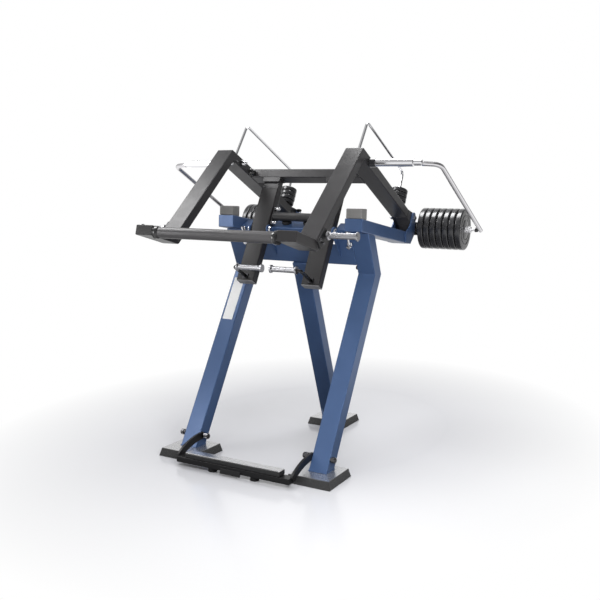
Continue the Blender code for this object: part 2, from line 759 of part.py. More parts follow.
def make_hubs():
    """Hubs at the boomerangs' rear ends, each with a tail, a carrier bar and a boss for the horn."""
    start_top = rear_tube_top(REAR_TUBE_END_Y) + arm_down_rear * GAP
    start_low = start_top - rear_normal * ARM_DEPTH
    tail_face = CARRIER_Y + HUB_TAIL_SINK
    outline = [start_top] + arc(ARM_PIVOT, LUG_RADIUS - HUB_TAIL_SINK, math.radians(70), 0.0, 6) + [
        Vector((tail_face, ARM_PIVOT[1] - HUB_TAIL_DROP)),
        Vector((tail_face, CARRIER_LOW_Z + HUB_TAIL_SINK)),
        Vector((ARM_PIVOT[0], CARRIER_LOW_Z)) + Vector(HUB_HEEL),
        Vector(ARM_PIVOT) + Vector(HUB_THROAT),
        start_low,
    ]
    rear = CARRIER_Y + CARRIER_DEPTH
    high = CARRIER_LOW_Z + CARRIER_HEIGHT
    bar = [(CARRIER_Y, CARRIER_LOW_Z), (rear, CARRIER_LOW_Z), (rear, high), (CARRIER_Y, high)]
    boss_end = DISC_FIRST_X - GAP
    for side, sign in SIDES:
        hub = prism(side + "_arm_hub", outline, sign * TUBE_INNER_X, sign * TUBE_OUTER_X, BLACK, squat_arm, 0.002)
        carrier = prism("weld_carrier_" + side, bar, sign * (TUBE_INNER_X + 0.002), sign * CARRIER_END_X, CHARCOAL,
                        squat_arm, 0.004)
        boss = turned("weld_boss_" + side, cylinder(boss_end - CARRIER_END_X + 0.02, HORN_COLLAR_RADIUS, 0.002),
                      (sign * (CARRIER_END_X - 0.02), horn_y, HORN_Z), (sign, 0, 0), BLACK, squat_arm)
        unite(hub, carrier, boss)
        bore(hub, ARM_PIVOT, sign * (TUBE_INNER_X - CUT_REACH), sign * (TUBE_OUTER_X + CUT_REACH), squat_arm)
        bore(hub, (horn_y, HORN_Z), sign * CARRIER_END_X, sign * (boss_end + CUT_REACH), squat_arm,
             HORN_RADIUS + GAP)


def make_horns():
    """Chrome weight horns that start in the bosses and end in a thin tip with a nut."""
    start = CARRIER_END_X + GAP
    length = HORN_END_X - start
    tip = HORN_NUT_X - start
    end = GUIDE_ROD_LOW_X - GUIDE_ROD_RADIUS - 2 * GAP - start
    nut = HORN_TIP_RADIUS + 0.005
    profile = [(0, 0), (0, HORN_RADIUS), (length - 0.004, HORN_RADIUS), (length, HORN_RADIUS - 0.004),
               (length, HORN_TIP_RADIUS), (tip, HORN_TIP_RADIUS), (tip, nut), (end, nut), (end, 0)]
    for side, sign in SIDES:
        turned(side + "_weight_horn", profile, (sign * start, horn_y, HORN_Z), (sign, 0, 0), CHROME, squat_arm)


def disc_profile(thick, radius, inner):
    """Closed profile of a weight disc with a rounded rim and a raised hub."""
    rim = 0.30 * thick
    face = 0.07 * thick
    hub = inner + 0.22 * (radius - inner)
    return [(0, inner), (0, hub), (face, radius - rim), (rim, radius), (thick - rim, radius),
            (thick - face, radius - rim), (thick, hub), (thick, inner)]


def stack_profile(count, thick, radius, inner):
    """Closed profile of discs that sit face to face on one axis."""
    outside = []
    for i in range(count):
        single = disc_profile(thick, radius, inner)
        outside += [(i * thick + along, r) for along, r in single[1:-1]]
    kept = [outside[0]]
    for point in outside[1:]:
        if (Vector(point) - Vector(kept[-1])).length > 1e-6:
            kept.append(point)
    return [(0, inner)] + kept + [(count * thick, inner)]


def make_discs():
    """Stacks of large discs on the horns and of small discs on the rear tubes."""
    foot = rear_tube_top(SMALL_HORN_Y)
    normal = (0, rear_normal.x, rear_normal.y)
    large = stack_profile(DISC_COUNT, DISC_THICK, DISC_RADIUS, HORN_RADIUS + GAP)
    small = stack_profile(SMALL_DISC_COUNT, SMALL_DISC_THICK, SMALL_DISC_RADIUS, LOOP_RADIUS + GAP)
    for side, sign in SIDES:
        slider = empty(side + "_discs_slide", (horn_y, HORN_Z), squat_arm)
        turned(side + "_discs", large, (sign * DISC_FIRST_X, horn_y, HORN_Z), (sign, 0, 0), DISC_BLACK, slider,
               FINE, True)
        slider = empty(side + "_small_discs_slide", tuple(foot), squat_arm)
        seat = foot + rear_normal * (SMALL_BASE_HEIGHT + GAP)
        turned(side + "_small_discs", small, (sign * LOOP_X, *seat), normal, DISC_BLACK, slider, MEDIUM, True)


def make_guide_loops():
    """Chrome loops over the rear tubes; the rear leg stands on a stepped base and carries the small discs."""
    foot = rear_tube_top(LOOP_FOOT_Y)
    seat = rear_tube_top(SMALL_HORN_Y) + rear_normal * GAP
    corner = seat + rear_normal * SMALL_LEG_LENGTH
    lift = (Vector(LOOP_TOP) - foot).normalized() * 0.006
    normal = (0, rear_normal.x, rear_normal.y)
    wide, slim, high = SMALL_BASE_RADIUS, SMALL_FOOT_RADIUS, SMALL_BASE_HEIGHT
    profile = [(0, 0), (0, slim), (SMALL_FOOT_HEIGHT, slim), (SMALL_FOOT_HEIGHT, wide), (high - 0.004, wide),
               (high, wide - 0.004), (high, 0)]
    for side, sign in SIDES:
        x = sign * LOOP_X
        route = [(x, *(foot + lift)), (x, *LOOP_TOP), (x, *corner), (x, *(seat + rear_normal * 0.01))]
        loop = rod(side + "_guide_loop", smooth_route(route, 0.035), LOOP_RADIUS, CHROME, squat_arm)
        base = turned("weld_base_" + side, profile, (x, *seat), normal, BLACK, squat_arm)
        unite(loop, base)


def make_sleeves():
    """Stepped loading sleeves with a collar at the root."""
    start = TUBE_OUTER_X + GAP
    step, end = SLEEVE_STEP_X - start, SLEEVE_END_X - start
    collar = SLEEVE_COLLAR_LENGTH
    profile = [(0, 0), (0, SLEEVE_COLLAR_RADIUS - 0.003), (0.003, SLEEVE_COLLAR_RADIUS),
               (collar - 0.003, SLEEVE_COLLAR_RADIUS), (collar, SLEEVE_COLLAR_RADIUS - 0.003), (collar, SLEEVE_RADIUS),
               (step - 0.004, SLEEVE_RADIUS), (step, SLEEVE_STEP_RADIUS), (end - 0.004, SLEEVE_STEP_RADIUS),
               (end, SLEEVE_STEP_RADIUS - 0.004), (end, 0)]
    for side, sign in SIDES:
        turned(side + "_loading_sleeve", profile, (sign * start, *SLEEVE_CENTRE), (sign, 0, 0), CHROME, squat_arm)


def make_guide_rods():
    """Bent chrome rods from the ends of the sleeves down to the ends of the horns."""
    for side, sign in SIDES:
        start = Vector((sign * (SLEEVE_END_X + GAP), *GUIDE_ROD_START))
        straight = start + Vector((sign * GUIDE_ROD_STRAIGHT, 0, 0))
        corner = Vector((sign * GUIDE_ROD_CORNER_X, *GUIDE_ROD_CORNER))
        low = Vector((sign * GUIDE_ROD_LOW_X, horn_y, HORN_Z))
        end = low + (low - corner).normalized() * HORN_TIP_RADIUS
        rod(side + "_guide_rod", smooth_route([start, straight, corner, end], GUIDE_ROD_BEND), GUIDE_ROD_RADIUS,
            CHROME, squat_arm)


def grip_profile(length):
    """Straight grip with a flange at each end."""
    flange = GRIP_FLANGE_THICK
    return [(0, 0), (0, GRIP_FLANGE_RADIUS), (flange, GRIP_FLANGE_RADIUS), (flange * 1.3, GRIP_RADIUS),
            (length - 1.3 * flange, GRIP_RADIUS), (length - flange, GRIP_FLANGE_RADIUS),
            (length - 0.003, GRIP_FLANGE_RADIUS), (length, GRIP_FLANGE_RADIUS - 0.003), (length, 0)]


def make_side_grips():
    """Grips on the outer faces of the front tubes, each on a black bracket with a stem."""
    face = TUBE_OUTER_X + GAP
    grip_y, grip_z = SIDE_GRIP_CENTRE
    centre = Vector(BRACKET_CENTRE)
    along = arm_down_front * BRACKET_HALF
    across = front_normal * (BRACKET_DEPTH / 2)
    outline = [centre - along - across, centre - along + across, centre + along + across, centre + along - across]
    root = face + BRACKET_THICK / 2
    for side, sign in SIDES:
        plate = prism(side + "_grip_bracket", outline, sign * face, sign * (face + BRACKET_THICK), BLACK, squat_arm,
                      0.002)
        stem = turned("weld_stem_" + side, cylinder(SIDE_GRIP_START_X - GAP - root, STEM_RADIUS),
                      (sign * root, grip_y, grip_z), (sign, 0, 0), BLACK, squat_arm)
        unite(plate, stem)
        turned(side + "_side_grip", grip_profile(SIDE_GRIP_END_X - SIDE_GRIP_START_X),
               (sign * SIDE_GRIP_START_X, grip_y, grip_z), (sign, 0, 0), CHROME, squat_arm, FINE)


# Support lever
def lever_line(along, depth=0.0):
    """Point of the side view at a length along the lever's front face and a depth behind it."""
    return lever_foot + lever_dir * along + lever_back * depth


def make_lever_arms():
    """Two straight tubes."""
    outline = [lever_line(0), lever_line(0, LEVER_DEPTH), lever_line(LEVER_LENGTH, LEVER_DEPTH),
               lever_line(LEVER_LENGTH)]
    inner, outer = LEVER_INNER_X, LEVER_INNER_X + LEVER_WIDTH
    for side, sign in SIDES:
        arm = prism(side + "_lever_arm", outline, sign * inner, sign * outer, CHARCOAL, support_lever, TUBE_CORNER)
        bore(arm, LEVER_PIVOT, sign * (inner - CUT_REACH), sign * (outer + CUT_REACH), support_lever)


def make_link():
    """Round tube between the lever arms, with a long end flange against each arm."""
    face = LEVER_INNER_X - GAP
    centre = Vector(LINK_CENTRE)
    reach = lever_dir * LINK_BOLT_REACH
    square = math.pi / 2
    plate = arc(centre + reach, LINK_FLANGE_HALF, LEVER_ANGLE - square, LEVER_ANGLE + square, 6)
    plate += arc(centre - reach, LINK_FLANGE_HALF, LEVER_ANGLE + square, LEVER_ANGLE + 3 * square, 6)
    link = turned("link_tube", cylinder(2 * face - LINK_FLANGE_THICK, LINK_RADIUS),
                  (LINK_FLANGE_THICK / 2 - face, *LINK_CENTRE), (1, 0, 0), CHARCOAL, support_lever, FINE)
    for side, sign in SIDES:
        flange = prism("weld_flange_" + side, plate, sign * face, sign * (face - LINK_FLANGE_THICK), BLACK,
                       support_lever, 0.0015)
        unite(link, flange)


def crown_line(depth_start, depth_end, radius, steps=8):
    """Points on a circle about the lever's pivot, between two depths behind the lever's front face."""
    along, middle = lever_hinge.dot(lever_dir), lever_hinge.dot(lever_back)
    depths = [depth_start + (depth_end - depth_start) * i / steps for i in range(steps + 1)]
    return [lever_line(along + math.sqrt(radius**2 - (d - middle)**2), d) for d in depths]


def make_saddles():
    """Saddles on top of the lever arms: a block, and a curved plate that turns clear under the upper beam."""
    corner = rear_tube_top(UPPER_BEAM_Y) - rear_normal * ARM_DEPTH
    reach = (corner - Vector(LEVER_PIVOT)).length - GAP
    seat = LEVER_LENGTH + GAP
    nose, tail = -SADDLE_NOSE, LEVER_DEPTH + SADDLE_TAIL
    plate = crown_line(nose, tail, reach) + crown_line(tail, nose, reach - SADDLE_THICK)
    front, back = BLOCK_INSET, LEVER_DEPTH - BLOCK_INSET
    block = [lever_line(seat, front), lever_line(seat, back)] + crown_line(back, front, reach - SADDLE_THICK / 2, 4)
    inner, outer = LEVER_INNER_X, LEVER_INNER_X + LEVER_WIDTH
    for side, sign in SIDES:
        saddle = prism(side + "_saddle", plate, sign * (inner - SADDLE_MARGIN), sign * (outer + SADDLE_MARGIN),
                       CHARCOAL, support_lever, 0.0015)
        unite(saddle, prism("weld_block_" + side, block, sign * (inner + BLOCK_INSET), sign * (outer - BLOCK_INSET),
                            CHARCOAL, support_lever, 0.0015))


def make_lever_grips():
    """Grips between the lever arms, each on a bent rod from the front of its arm."""
    root = lever_line(LEVER_GRIP_ROOT, -GAP)
    middle = LEVER_INNER_X + LEVER_WIDTH / 2
    grip_y, grip_z = lever_foot + Vector((-LEVER_GRIP_REACH, LEVER_GRIP_RISE))
    for side, sign in SIDES:
        end = LEVER_GRIP_START_X + LEVER_GRIP_LENGTH
        grip = turned(side + "_lever_grip", grip_profile(LEVER_GRIP_LENGTH),
                      (sign * LEVER_GRIP_START_X, grip_y, grip_z), (sign, 0, 0), CHROME, support_lever, FINE)
        route = [(sign * (end - 0.01), grip_y, grip_z), (sign * middle, grip_y, grip_z),
                 (sign * middle, *root)]
        arm = rod("weld_rod_" + side, smooth_route(route, LEVER_GRIP_BEND), LEVER_GRIP_ROD_RADIUS, BLACK,
                  support_lever)
        root_plate = prism("weld_root_" + side, [root - lever_dir * 0.018, root + lever_dir * 0.018,
                                                 root + lever_dir * 0.018 - lever_back * 0.006,
                                                 root - lever_dir * 0.018 - lever_back * 0.006],
                           sign * (middle - 0.018), sign * (middle + 0.018), BLACK, support_lever)
        unite(grip, arm, root_plate)


# Calf step
def make_step():
    """Bar and tread on two curved arms, with rubber feet on the floor."""
    front, low, high = STEP_BAR_FRONT_Y, STEP_BAR_LOW_Z, STEP_BAR_LOW_Z + STEP_BAR_HEIGHT
    back = front + STEP_BAR_DEPTH
    outline = [(front, low), (back, low), (back, high), (front, high)]
    bar = prism("step_frame", outline, -STEP_BAR_HALF, STEP_BAR_HALF, BLACK, calf_step, 0.003)
    tread_front, tread_low = front - 0.002, high + GAP
    tread_back, tread_high = tread_front + TREAD_DEPTH, tread_low + TREAD_HEIGHT
    tread = [(tread_front, tread_low), (tread_back, tread_low), (tread_back, tread_high), (tread_front, tread_high)]
    prism("step_tread", tread, -TREAD_HALF, TREAD_HALF, STEEL, calf_step, TREAD_CORNER)
    middle_y = (front + back) / 2
    path = bezier((middle_y, low + 0.024), (middle_y + 0.020, 0.075), (STEP_PIVOT[0] - 0.13, STEP_PIVOT[1] - 0.004),
                  STEP_PIVOT, 10)
    half = STEP_ARM_BAND / 2
    sides = band(path, half)
    lug = arc(STEP_PIVOT, half, math.radians(88), math.radians(-88), 8)
    curved = sides[:len(path) - 1] + lug + sides[len(path) + 1:]
    arm_high = TUBE_INNER_X - GAP
    arm_low = arm_high - STEP_ARM_THICK
    for side, sign in SIDES:
        arm = prism("weld_arm_" + side, curved, sign * arm_low, sign * arm_high, BLACK, calf_step, 0.0015)
        unite(bar, arm)
        bore(bar, STEP_PIVOT, sign * (arm_low - CUT_REACH), sign * (arm_high + CUT_REACH), calf_step)
        turned(side + "_step_foot", cylinder(low - GAP, STEP_FOOT_RADIUS, 0.003), (sign * STEP_FOOT_X, middle_y, 0.0),
               (0, 0, 1), DARK_RUBBER, calf_step)
    tab_back, tab_low, tab_high = front - GAP, low - 0.012, low + 0.018
    tab = [(tab_back, tab_high), (tab_back - LATCH_THICK, tab_high), (tab_back - LATCH_THICK - 0.006, tab_low),
           (tab_back - 0.006, tab_low)]
    prism("step_latch", tab, -LATCH_HALF, LATCH_HALF, BLACK, calf_step, 0.001)


make_feet()
make_legs()
make_side_arms()
make_cross_beam()
make_rear_leg()
make_blocks()
make_clevises()
make_lever_ears()
make_bumpers()
make_pins()
make_boomerangs()
make_front_arms()
make_shoulder_bar()
make_upper_beam()
make_hubs()
make_horns()
make_discs()
make_guide_loops()
make_sleeves()
make_guide_rods()
make_side_grips()
make_lever_arms()
make_link()
make_saddles()
make_lever_grips()
make_step()
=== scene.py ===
"""Squat machine, dressed for its photograph.

It gets satin paint, chrome and rubber, separate weight discs, bolts, nuts and weld seams.
Places are (x, y, z) in metres, with y counted from the front edge of the front foot plates.
"""
import math

import bmesh
import bpy
from mathutils import Matrix, Vector


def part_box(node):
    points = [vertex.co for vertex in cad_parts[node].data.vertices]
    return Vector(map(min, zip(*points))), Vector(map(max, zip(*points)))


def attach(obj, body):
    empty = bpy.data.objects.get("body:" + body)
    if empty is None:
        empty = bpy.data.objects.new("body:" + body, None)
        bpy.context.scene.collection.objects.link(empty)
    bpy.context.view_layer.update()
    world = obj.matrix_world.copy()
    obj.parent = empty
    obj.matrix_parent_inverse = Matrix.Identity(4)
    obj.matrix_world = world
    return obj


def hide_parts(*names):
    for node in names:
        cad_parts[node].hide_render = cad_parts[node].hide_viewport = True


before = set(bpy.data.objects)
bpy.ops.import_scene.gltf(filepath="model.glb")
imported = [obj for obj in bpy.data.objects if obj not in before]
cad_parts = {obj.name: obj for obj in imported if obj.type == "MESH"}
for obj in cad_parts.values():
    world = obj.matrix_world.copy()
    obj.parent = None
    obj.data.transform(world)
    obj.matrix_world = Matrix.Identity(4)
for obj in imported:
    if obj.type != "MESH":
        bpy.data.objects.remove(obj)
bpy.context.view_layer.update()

ORIGIN_Y = 0.678048
SIDES = (("left", -1), ("right", 1))
X_AXIS = Vector((1, 0, 0))
Y_AXIS = Vector((0, 1, 0))
WHITE = (1.0, 1.0, 1.0)

# Tubes of the frame and the squat arm
TUBE_INNER_X = 0.4115
TUBE_WIDTH = 0.120
TUBE_MIDDLE_X = TUBE_INNER_X + TUBE_WIDTH / 2
FOOT_TOP_Z = 0.051

# Side view of the front legs: (y, z) of the front face at the knee, and the slopes dy/dz
KNEE = (0.7693, 1.198)
LEG_SLOPE = 0.5626
UPPER_SLOPE = -0.52
LEG_DEPTH = 0.098

# Side view of the rear leg: (y, z) of the front face at the top, and the slope on the way down
REAR_LEG_TOP = (0.724, 1.253)
REAR_LEG_SLOPE = 0.452
REAR_LEG_DEPTH = 0.088

# Side view of the squat arm's tubes
APEX = (0.511, 1.992)
ARM_DEPTH = 0.062
REAR_TUBE_ANGLE = math.radians(23.2)

# Support lever
LEVER_FOOT = (0.408, 1.1385)
LEVER_ANGLE = math.radians(63.34)
LEVER_LENGTH = 0.6865
LEVER_DEPTH = 0.060
LEVER_INNER_X = 0.178
LEVER_WIDTH = 0.126
LEVER_MIDDLE_X = LEVER_INNER_X + LEVER_WIDTH / 2

# Posts of the small discs
LOOP_X = 0.450
LOOP_RADIUS = 0.0095
SMALL_HORN_Y = 1.320
SMALL_BASE_HEIGHT = 0.036
BASE_FRONT_Y = 1.20


def place(x, y, z):
    """World position of a place."""
    return Vector((x, y - ORIGIN_Y, z))


def direction(y, z):
    """Unit vector in the side view."""
    return Vector((0.0, y, z)).normalized()


leg_dir = direction(LEG_SLOPE, 1.0)
leg_front = Vector((0.0, -leg_dir.z, leg_dir.y))
upper_dir = direction(UPPER_SLOPE, 1.0)
upper_front = Vector((0.0, -upper_dir.z, upper_dir.y))
rear_tube_up = direction(math.sin(REAR_TUBE_ANGLE), math.cos(REAR_TUBE_ANGLE))
lever_dir = direction(math.cos(LEVER_ANGLE), math.sin(LEVER_ANGLE))
lever_front = direction(-math.sin(LEVER_ANGLE), math.cos(LEVER_ANGLE))


def rear_tube_top(x, y):
    """Point on the top face of a rear tube of the squat arm."""
    return place(x, y, APEX[1] - math.tan(REAR_TUBE_ANGLE) * (y - APEX[0]))


def leg_face(x, z):
    """Point on the front face of a front leg."""
    slope = LEG_SLOPE if z < KNEE[1] else UPPER_SLOPE
    return place(x, KNEE[0] + slope * (z - KNEE[1]), z)


# Materials
NOISE_LOW = 0.3
NOISE_HIGH = 0.7
MOTTLE_DETAIL = 4.0
GLOSS_SCALE = 2.3
GLOSS_DETAIL = 5.0

# Numbers of the sockets of a colour mix
MIX_FACTOR = 0
MIX_A = 6
MIX_B = 7
MIX_RESULT = 2


def plug(tree, socket, value):
    """Feed a socket with another node's output or with a constant."""
    if isinstance(value, bpy.types.NodeSocket):
        tree.links.new(value, socket)
    else:
        socket.default_value = (*value, 1.0) if socket.type == "RGBA" else value


def add_node(tree, kind, inputs=(), **properties):
    """Node whose inputs are fed in their order, or by name or number from a dictionary."""
    made = tree.nodes.new(kind)
    for name, value in properties.items():
        setattr(made, name, value)
    for key, value in inputs.items() if isinstance(inputs, dict) else enumerate(inputs):
        plug(tree, made.inputs[key], value)
    return made


class Look:
    """A material whose Principled shader is fed by a few procedural nodes."""

    def __init__(self, name, colour, roughness, metallic=0.0, **sockets):
        self.material = bpy.data.materials.new(name)
        self.material.use_nodes = True
        self.tree = self.material.node_tree
        self.shader = self.tree.nodes["Principled BSDF"]
        self.colour = colour
        self.roughness = roughness
        self.coords = self.node("ShaderNodeTexCoord").outputs["Object"]
        self.feed("Base Color", colour)
        self.feed("Roughness", roughness)
        self.feed("Metallic", metallic)
        for socket, value in sockets.items():
            self.feed(socket.replace("_", " "), value)

    def node(self, kind, inputs=(), **properties):
        """Node of this material."""
        return add_node(self.tree, kind, inputs, **properties)

    def feed(self, socket, value):
        """Feed a socket of the shader."""
        plug(self.tree, self.shader.inputs[socket], value)

    def noise(self, scale, detail=2.0, stretch=(1.0, 1.0, 1.0)):
        """Noise value over object space; stretch scales each axis."""
        mapping = self.node("ShaderNodeMapping", {"Vector": self.coords, "Scale": stretch})
        inputs = {"Vector": mapping.outputs[0], "Scale": scale, "Detail": detail}
        return self.node("ShaderNodeTexNoise", inputs).outputs["Fac"]

    def math(self, operation, a, b=0.0):
        """Result of one operation on two values."""
        return self.node("ShaderNodeMath", (a, b), operation=operation).outputs[0]

    def span(self, value, low, high, to_low, to_high):
        """Value from low to high, mapped to another range and clamped."""
        return self.node("ShaderNodeMapRange", (value, low, high, to_low, to_high)).outputs[0]

    def vary(self, noise, low, high):
        """Noise value spread from low to high."""
        return self.span(noise, NOISE_LOW, NOISE_HIGH, low, high)

    def mix(self, factor, a, b):
        """Colour a where factor is 0 and b where it is 1."""
        inputs = {MIX_FACTOR: factor, MIX_A: a, MIX_B: b}
        return self.node("ShaderNodeMix", inputs, data_type="RGBA").outputs[MIX_RESULT]

    def part(self, axis):
        """One of X, Y or Z of the object coordinates."""
        return self.node("ShaderNodeSeparateXYZ", (self.coords,)).outputs[axis]

    def beyond(self, x):
        """1 on surfaces farther than x from the machine's middle plane, 0 on the others."""
        return self.math("GREATER_THAN", self.math("ABSOLUTE", self.part(0)), x)

    def within(self, x):
        """1 on surfaces nearer than x to the machine's middle plane, 0 on the others."""
        return self.math("LESS_THAN", self.math("ABSOLUTE", self.part(0)), x)

    def facing_up(self, low, high):
        """0 on surfaces that lean below low, 1 on those whose normal's Z is above high."""
        geometry = self.node("ShaderNodeNewGeometry")
        up = self.node("ShaderNodeSeparateXYZ", (geometry.outputs["Normal"],)).outputs[2]
        return self.span(up, low, high, 0.0, 1.0)

    def tint(self, mask, colour):
        """Another colour where mask is 1."""
        self.feed("Base Color", self.mix(mask, self.colour, colour))

    def bump(self, height, strength, distance):
        """Surface relief, added to any that is there already."""
        inputs = {"Height": height, "Strength": strength, "Distance": distance}
        normal = self.shader.inputs["Normal"]
        if normal.is_linked:
            inputs["Normal"] = normal.links[0].from_socket
        plug(self.tree, normal, self.node("ShaderNodeBump", inputs).outputs[0])

    def mottle(self, scale, colour_change, roughness_change):
        """Slow changes of colour and gloss over the surface."""
        dark = tuple(c * (1 - colour_change) for c in self.colour)
        pale = tuple(min(1.0, c * (1 + colour_change)) for c in self.colour)
        patches = self.vary(self.noise(scale, MOTTLE_DETAIL), 0.0, 1.0)
        self.feed("Base Color", self.mix(patches, dark, pale))
        gloss = self.noise(scale * GLOSS_SCALE, GLOSS_DETAIL)
        low = self.roughness * (1 - roughness_change)
        high = self.roughness * (1 + roughness_change)
        self.feed("Roughness", self.vary(gloss, low, high))


PAINT_SPECULAR = 0.35
POLISH_LOW = 0.75
POLISH_HIGH = 1.35


def paint(name, colour, roughness, metallic=0.0):
    """Powder coat: slight orange peel, fine grain and slow changes of gloss."""
    look = Look(name, colour, roughness, metallic, Specular_IOR_Level=PAINT_SPECULAR)
    look.mottle(scale=5.0, colour_change=0.05, roughness_change=0.12)
    look.bump(look.noise(420.0, detail=3.0), strength=0.10, distance=0.0004)
    look.bump(look.noise(1500.0), strength=0.08, distance=0.0002)
    return look


def polished(name, colour, roughness):
    """Bright metal with faint polishing marks along X."""
    look = Look(name, colour, roughness, metallic=1.0)
    marks = look.noise(60.0, detail=4.0, stretch=(0.15, 1.0, 1.0))
    look.feed("Roughness", look.vary(marks, roughness * POLISH_LOW, roughness * POLISH_HIGH))
    look.bump(look.noise(500.0, stretch=(0.05, 1.0, 1.0)), strength=0.02, distance=0.0001)
    return look


RIDGE_PITCH = 0.0078


def ridges(look, start, end):
    """Turned ridges along X, between two distances from the middle plane."""
    along = look.math("MULTIPLY", look.part(0), math.tau / RIDGE_PITCH)
    weight = look.math("MULTIPLY", look.beyond(start), look.within(end))
    height = look.math("MULTIPLY", look.math("SINE", along), weight)
    look.bump(height, strength=0.5, distance=0.0005)


CHROME = (0.86, 0.86, 0.88)
GRIP_METAL = (0.42, 0.42, 0.44)
HORN_METALLIC = 0.20
FOOT_METALLIC = 0.85

# Distances from the middle plane at which a finish changes; on the hub, where its painted shade
# begins
HUB_SHADE_X = 0.437
BAR_FLANGE_X = 0.4008
HORN_TIP_X = 0.9785
SLEEVE_COLLAR_END = 0.5765

# Ends of the grips, measured from the middle plane, and the width of their end flanges
SIDE_GRIP_START_X = 0.560
SIDE_GRIP_END_X = 0.746
LEVER_GRIP_START_X = 0.029
LEVER_GRIP_END_X = 0.217
GRIP_FLANGE = 0.013

blue = paint("blue_paint", (0.062, 0.113, 0.240), roughness=0.34, metallic=0.20)
charcoal = paint("charcoal_paint", (0.041, 0.040, 0.042), roughness=0.32, metallic=0.15)
# A darker copy of the charcoal paint: painted shade on the front arms and the lever arms.
shaded_charcoal = paint("shaded_charcoal", (0.023, 0.022, 0.023), roughness=0.34, metallic=0.10)
cap_plastic = paint("cap_plastic", (0.28, 0.28, 0.29), roughness=0.45)
black = paint("black_paint", (0.013, 0.013, 0.014), roughness=0.36)

# The hub's inner band is painted near black: painted shade, and a painted reflection of the dark
# clevis cheek.
hub_paint_and_shade = paint("hub_paint_and_shade", (0.050, 0.049, 0.052), roughness=0.34, metallic=0.10)
hub_paint_and_shade.tint(hub_paint_and_shade.within(HUB_SHADE_X), (0.009, 0.010, 0.013))

bar_paint = paint("bar_paint", (0.084, 0.082, 0.085), roughness=0.33, metallic=0.12)
bar_paint.tint(bar_paint.beyond(BAR_FLANGE_X), (0.010, 0.010, 0.011))

chrome = polished("chrome", CHROME, roughness=0.10)
rod_chrome = polished("rod_chrome", (0.76, 0.75, 0.77), roughness=0.17)
dark_chrome = polished("dark_chrome", (0.16, 0.16, 0.17), roughness=0.20)

# The horn is chrome, but only slightly metallic: its near-white colour is a painted reflection; its
# tip is dark.
horn_chrome = polished("horn_chrome", CHROME, roughness=0.30)
is_tip = horn_chrome.beyond(HORN_TIP_X)
horn_chrome.tint(is_tip, (0.030, 0.036, 0.048))
horn_chrome.feed("Metallic", horn_chrome.span(is_tip, 0.0, 1.0, HORN_METALLIC, 0.0))

sleeve_chrome = polished("sleeve_chrome", CHROME, roughness=0.10)
is_collar = sleeve_chrome.within(SLEEVE_COLLAR_END)
sleeve_chrome.tint(is_collar, (0.030, 0.030, 0.033))
sleeve_chrome.feed("Metallic", sleeve_chrome.math("SUBTRACT", 1.0, is_collar))

side_grip = polished("side_grip_chrome", GRIP_METAL, roughness=0.28)
ridges(side_grip, SIDE_GRIP_START_X + GRIP_FLANGE, SIDE_GRIP_END_X - GRIP_FLANGE)

lever_grip = polished("lever_grip_chrome", GRIP_METAL, roughness=0.28)
ridges(lever_grip, LEVER_GRIP_START_X + GRIP_FLANGE, LEVER_GRIP_END_X - GRIP_FLANGE)
lever_grip.tint(lever_grip.beyond(LEVER_GRIP_END_X), (0.075, 0.075, 0.080))

# The foot of a guide loop, under the small discs, is black
BASE_MARGIN = 0.0006
loop_chrome = polished("loop_chrome", CHROME, roughness=0.10)
height_y = loop_chrome.math("MULTIPLY", loop_chrome.part(1), rear_tube_up.y)
height_z = loop_chrome.math("MULTIPLY", loop_chrome.part(2), rear_tube_up.z)
base_top = rear_tube_top(0, SMALL_HORN_Y).dot(rear_tube_up) + SMALL_BASE_HEIGHT + BASE_MARGIN
is_low = loop_chrome.math("LESS_THAN", loop_chrome.math("ADD", height_y, height_z), base_top)
is_back = loop_chrome.math("GREATER_THAN", loop_chrome.part(1), BASE_FRONT_Y - ORIGIN_Y)
is_base = loop_chrome.math("MULTIPLY", is_low, is_back)
loop_chrome.tint(is_base, (0.020, 0.020, 0.022))
loop_chrome.feed("Metallic", loop_chrome.math("SUBTRACT", 1.0, is_base))

gloss_black = Look("gloss_black", (0.014, 0.014, 0.015), roughness=0.16,
                   Coat_Weight=0.5, Coat_Roughness=0.06)
gloss_black.mottle(scale=12.0, colour_change=0.12, roughness_change=0.15)
gloss_black.bump(gloss_black.noise(300.0), strength=0.02, distance=0.0001)

disc_enamel = Look("disc_enamel", (0.028, 0.028, 0.031), roughness=0.27, metallic=0.20,
                   Coat_Weight=0.60, Coat_Roughness=0.20)
disc_enamel.mottle(scale=9.0, colour_change=0.12, roughness_change=0.18)
disc_enamel.bump(disc_enamel.noise(300.0), strength=0.015, distance=0.0001)

block_rubber = Look("block_rubber", (0.215, 0.212, 0.208), roughness=0.62)
block_rubber.mottle(scale=14.0, colour_change=0.10, roughness_change=0.10)
block_rubber.bump(block_rubber.noise(1100.0, detail=4.0), strength=0.30, distance=0.0004)

black_rubber = Look("black_rubber", (0.012, 0.012, 0.013), roughness=0.60)
black_rubber.mottle(scale=18.0, colour_change=0.15, roughness_change=0.12)
black_rubber.bump(black_rubber.noise(1300.0, detail=4.0), strength=0.30, distance=0.0003)

label_white = Look("label_white", (0.92, 0.92, 0.92), roughness=0.40)
label_white.mottle(scale=25.0, colour_change=0.02, roughness_change=0.10)
label_white.bump(label_white.noise(500.0), strength=0.05, distance=0.0002)

# The foot plates and the tread are bare metal on top and black on their sides
foot_plate = Look("foot_plate", (0.042, 0.042, 0.043), roughness=0.25)
foot_up = foot_plate.facing_up(low=0.90, high=0.99)
foot_plate.tint(foot_up, (0.55, 0.55, 0.56))
foot_plate.feed("Metallic", foot_plate.math("MULTIPLY", foot_up, FOOT_METALLIC))
scratches = foot_plate.noise(240.0, detail=3.0)
foot_plate.feed("Roughness", foot_plate.vary(scratches, low=0.20, high=0.30))
foot_plate.bump(foot_plate.noise(500.0, detail=3.0), strength=0.05, distance=0.0001)

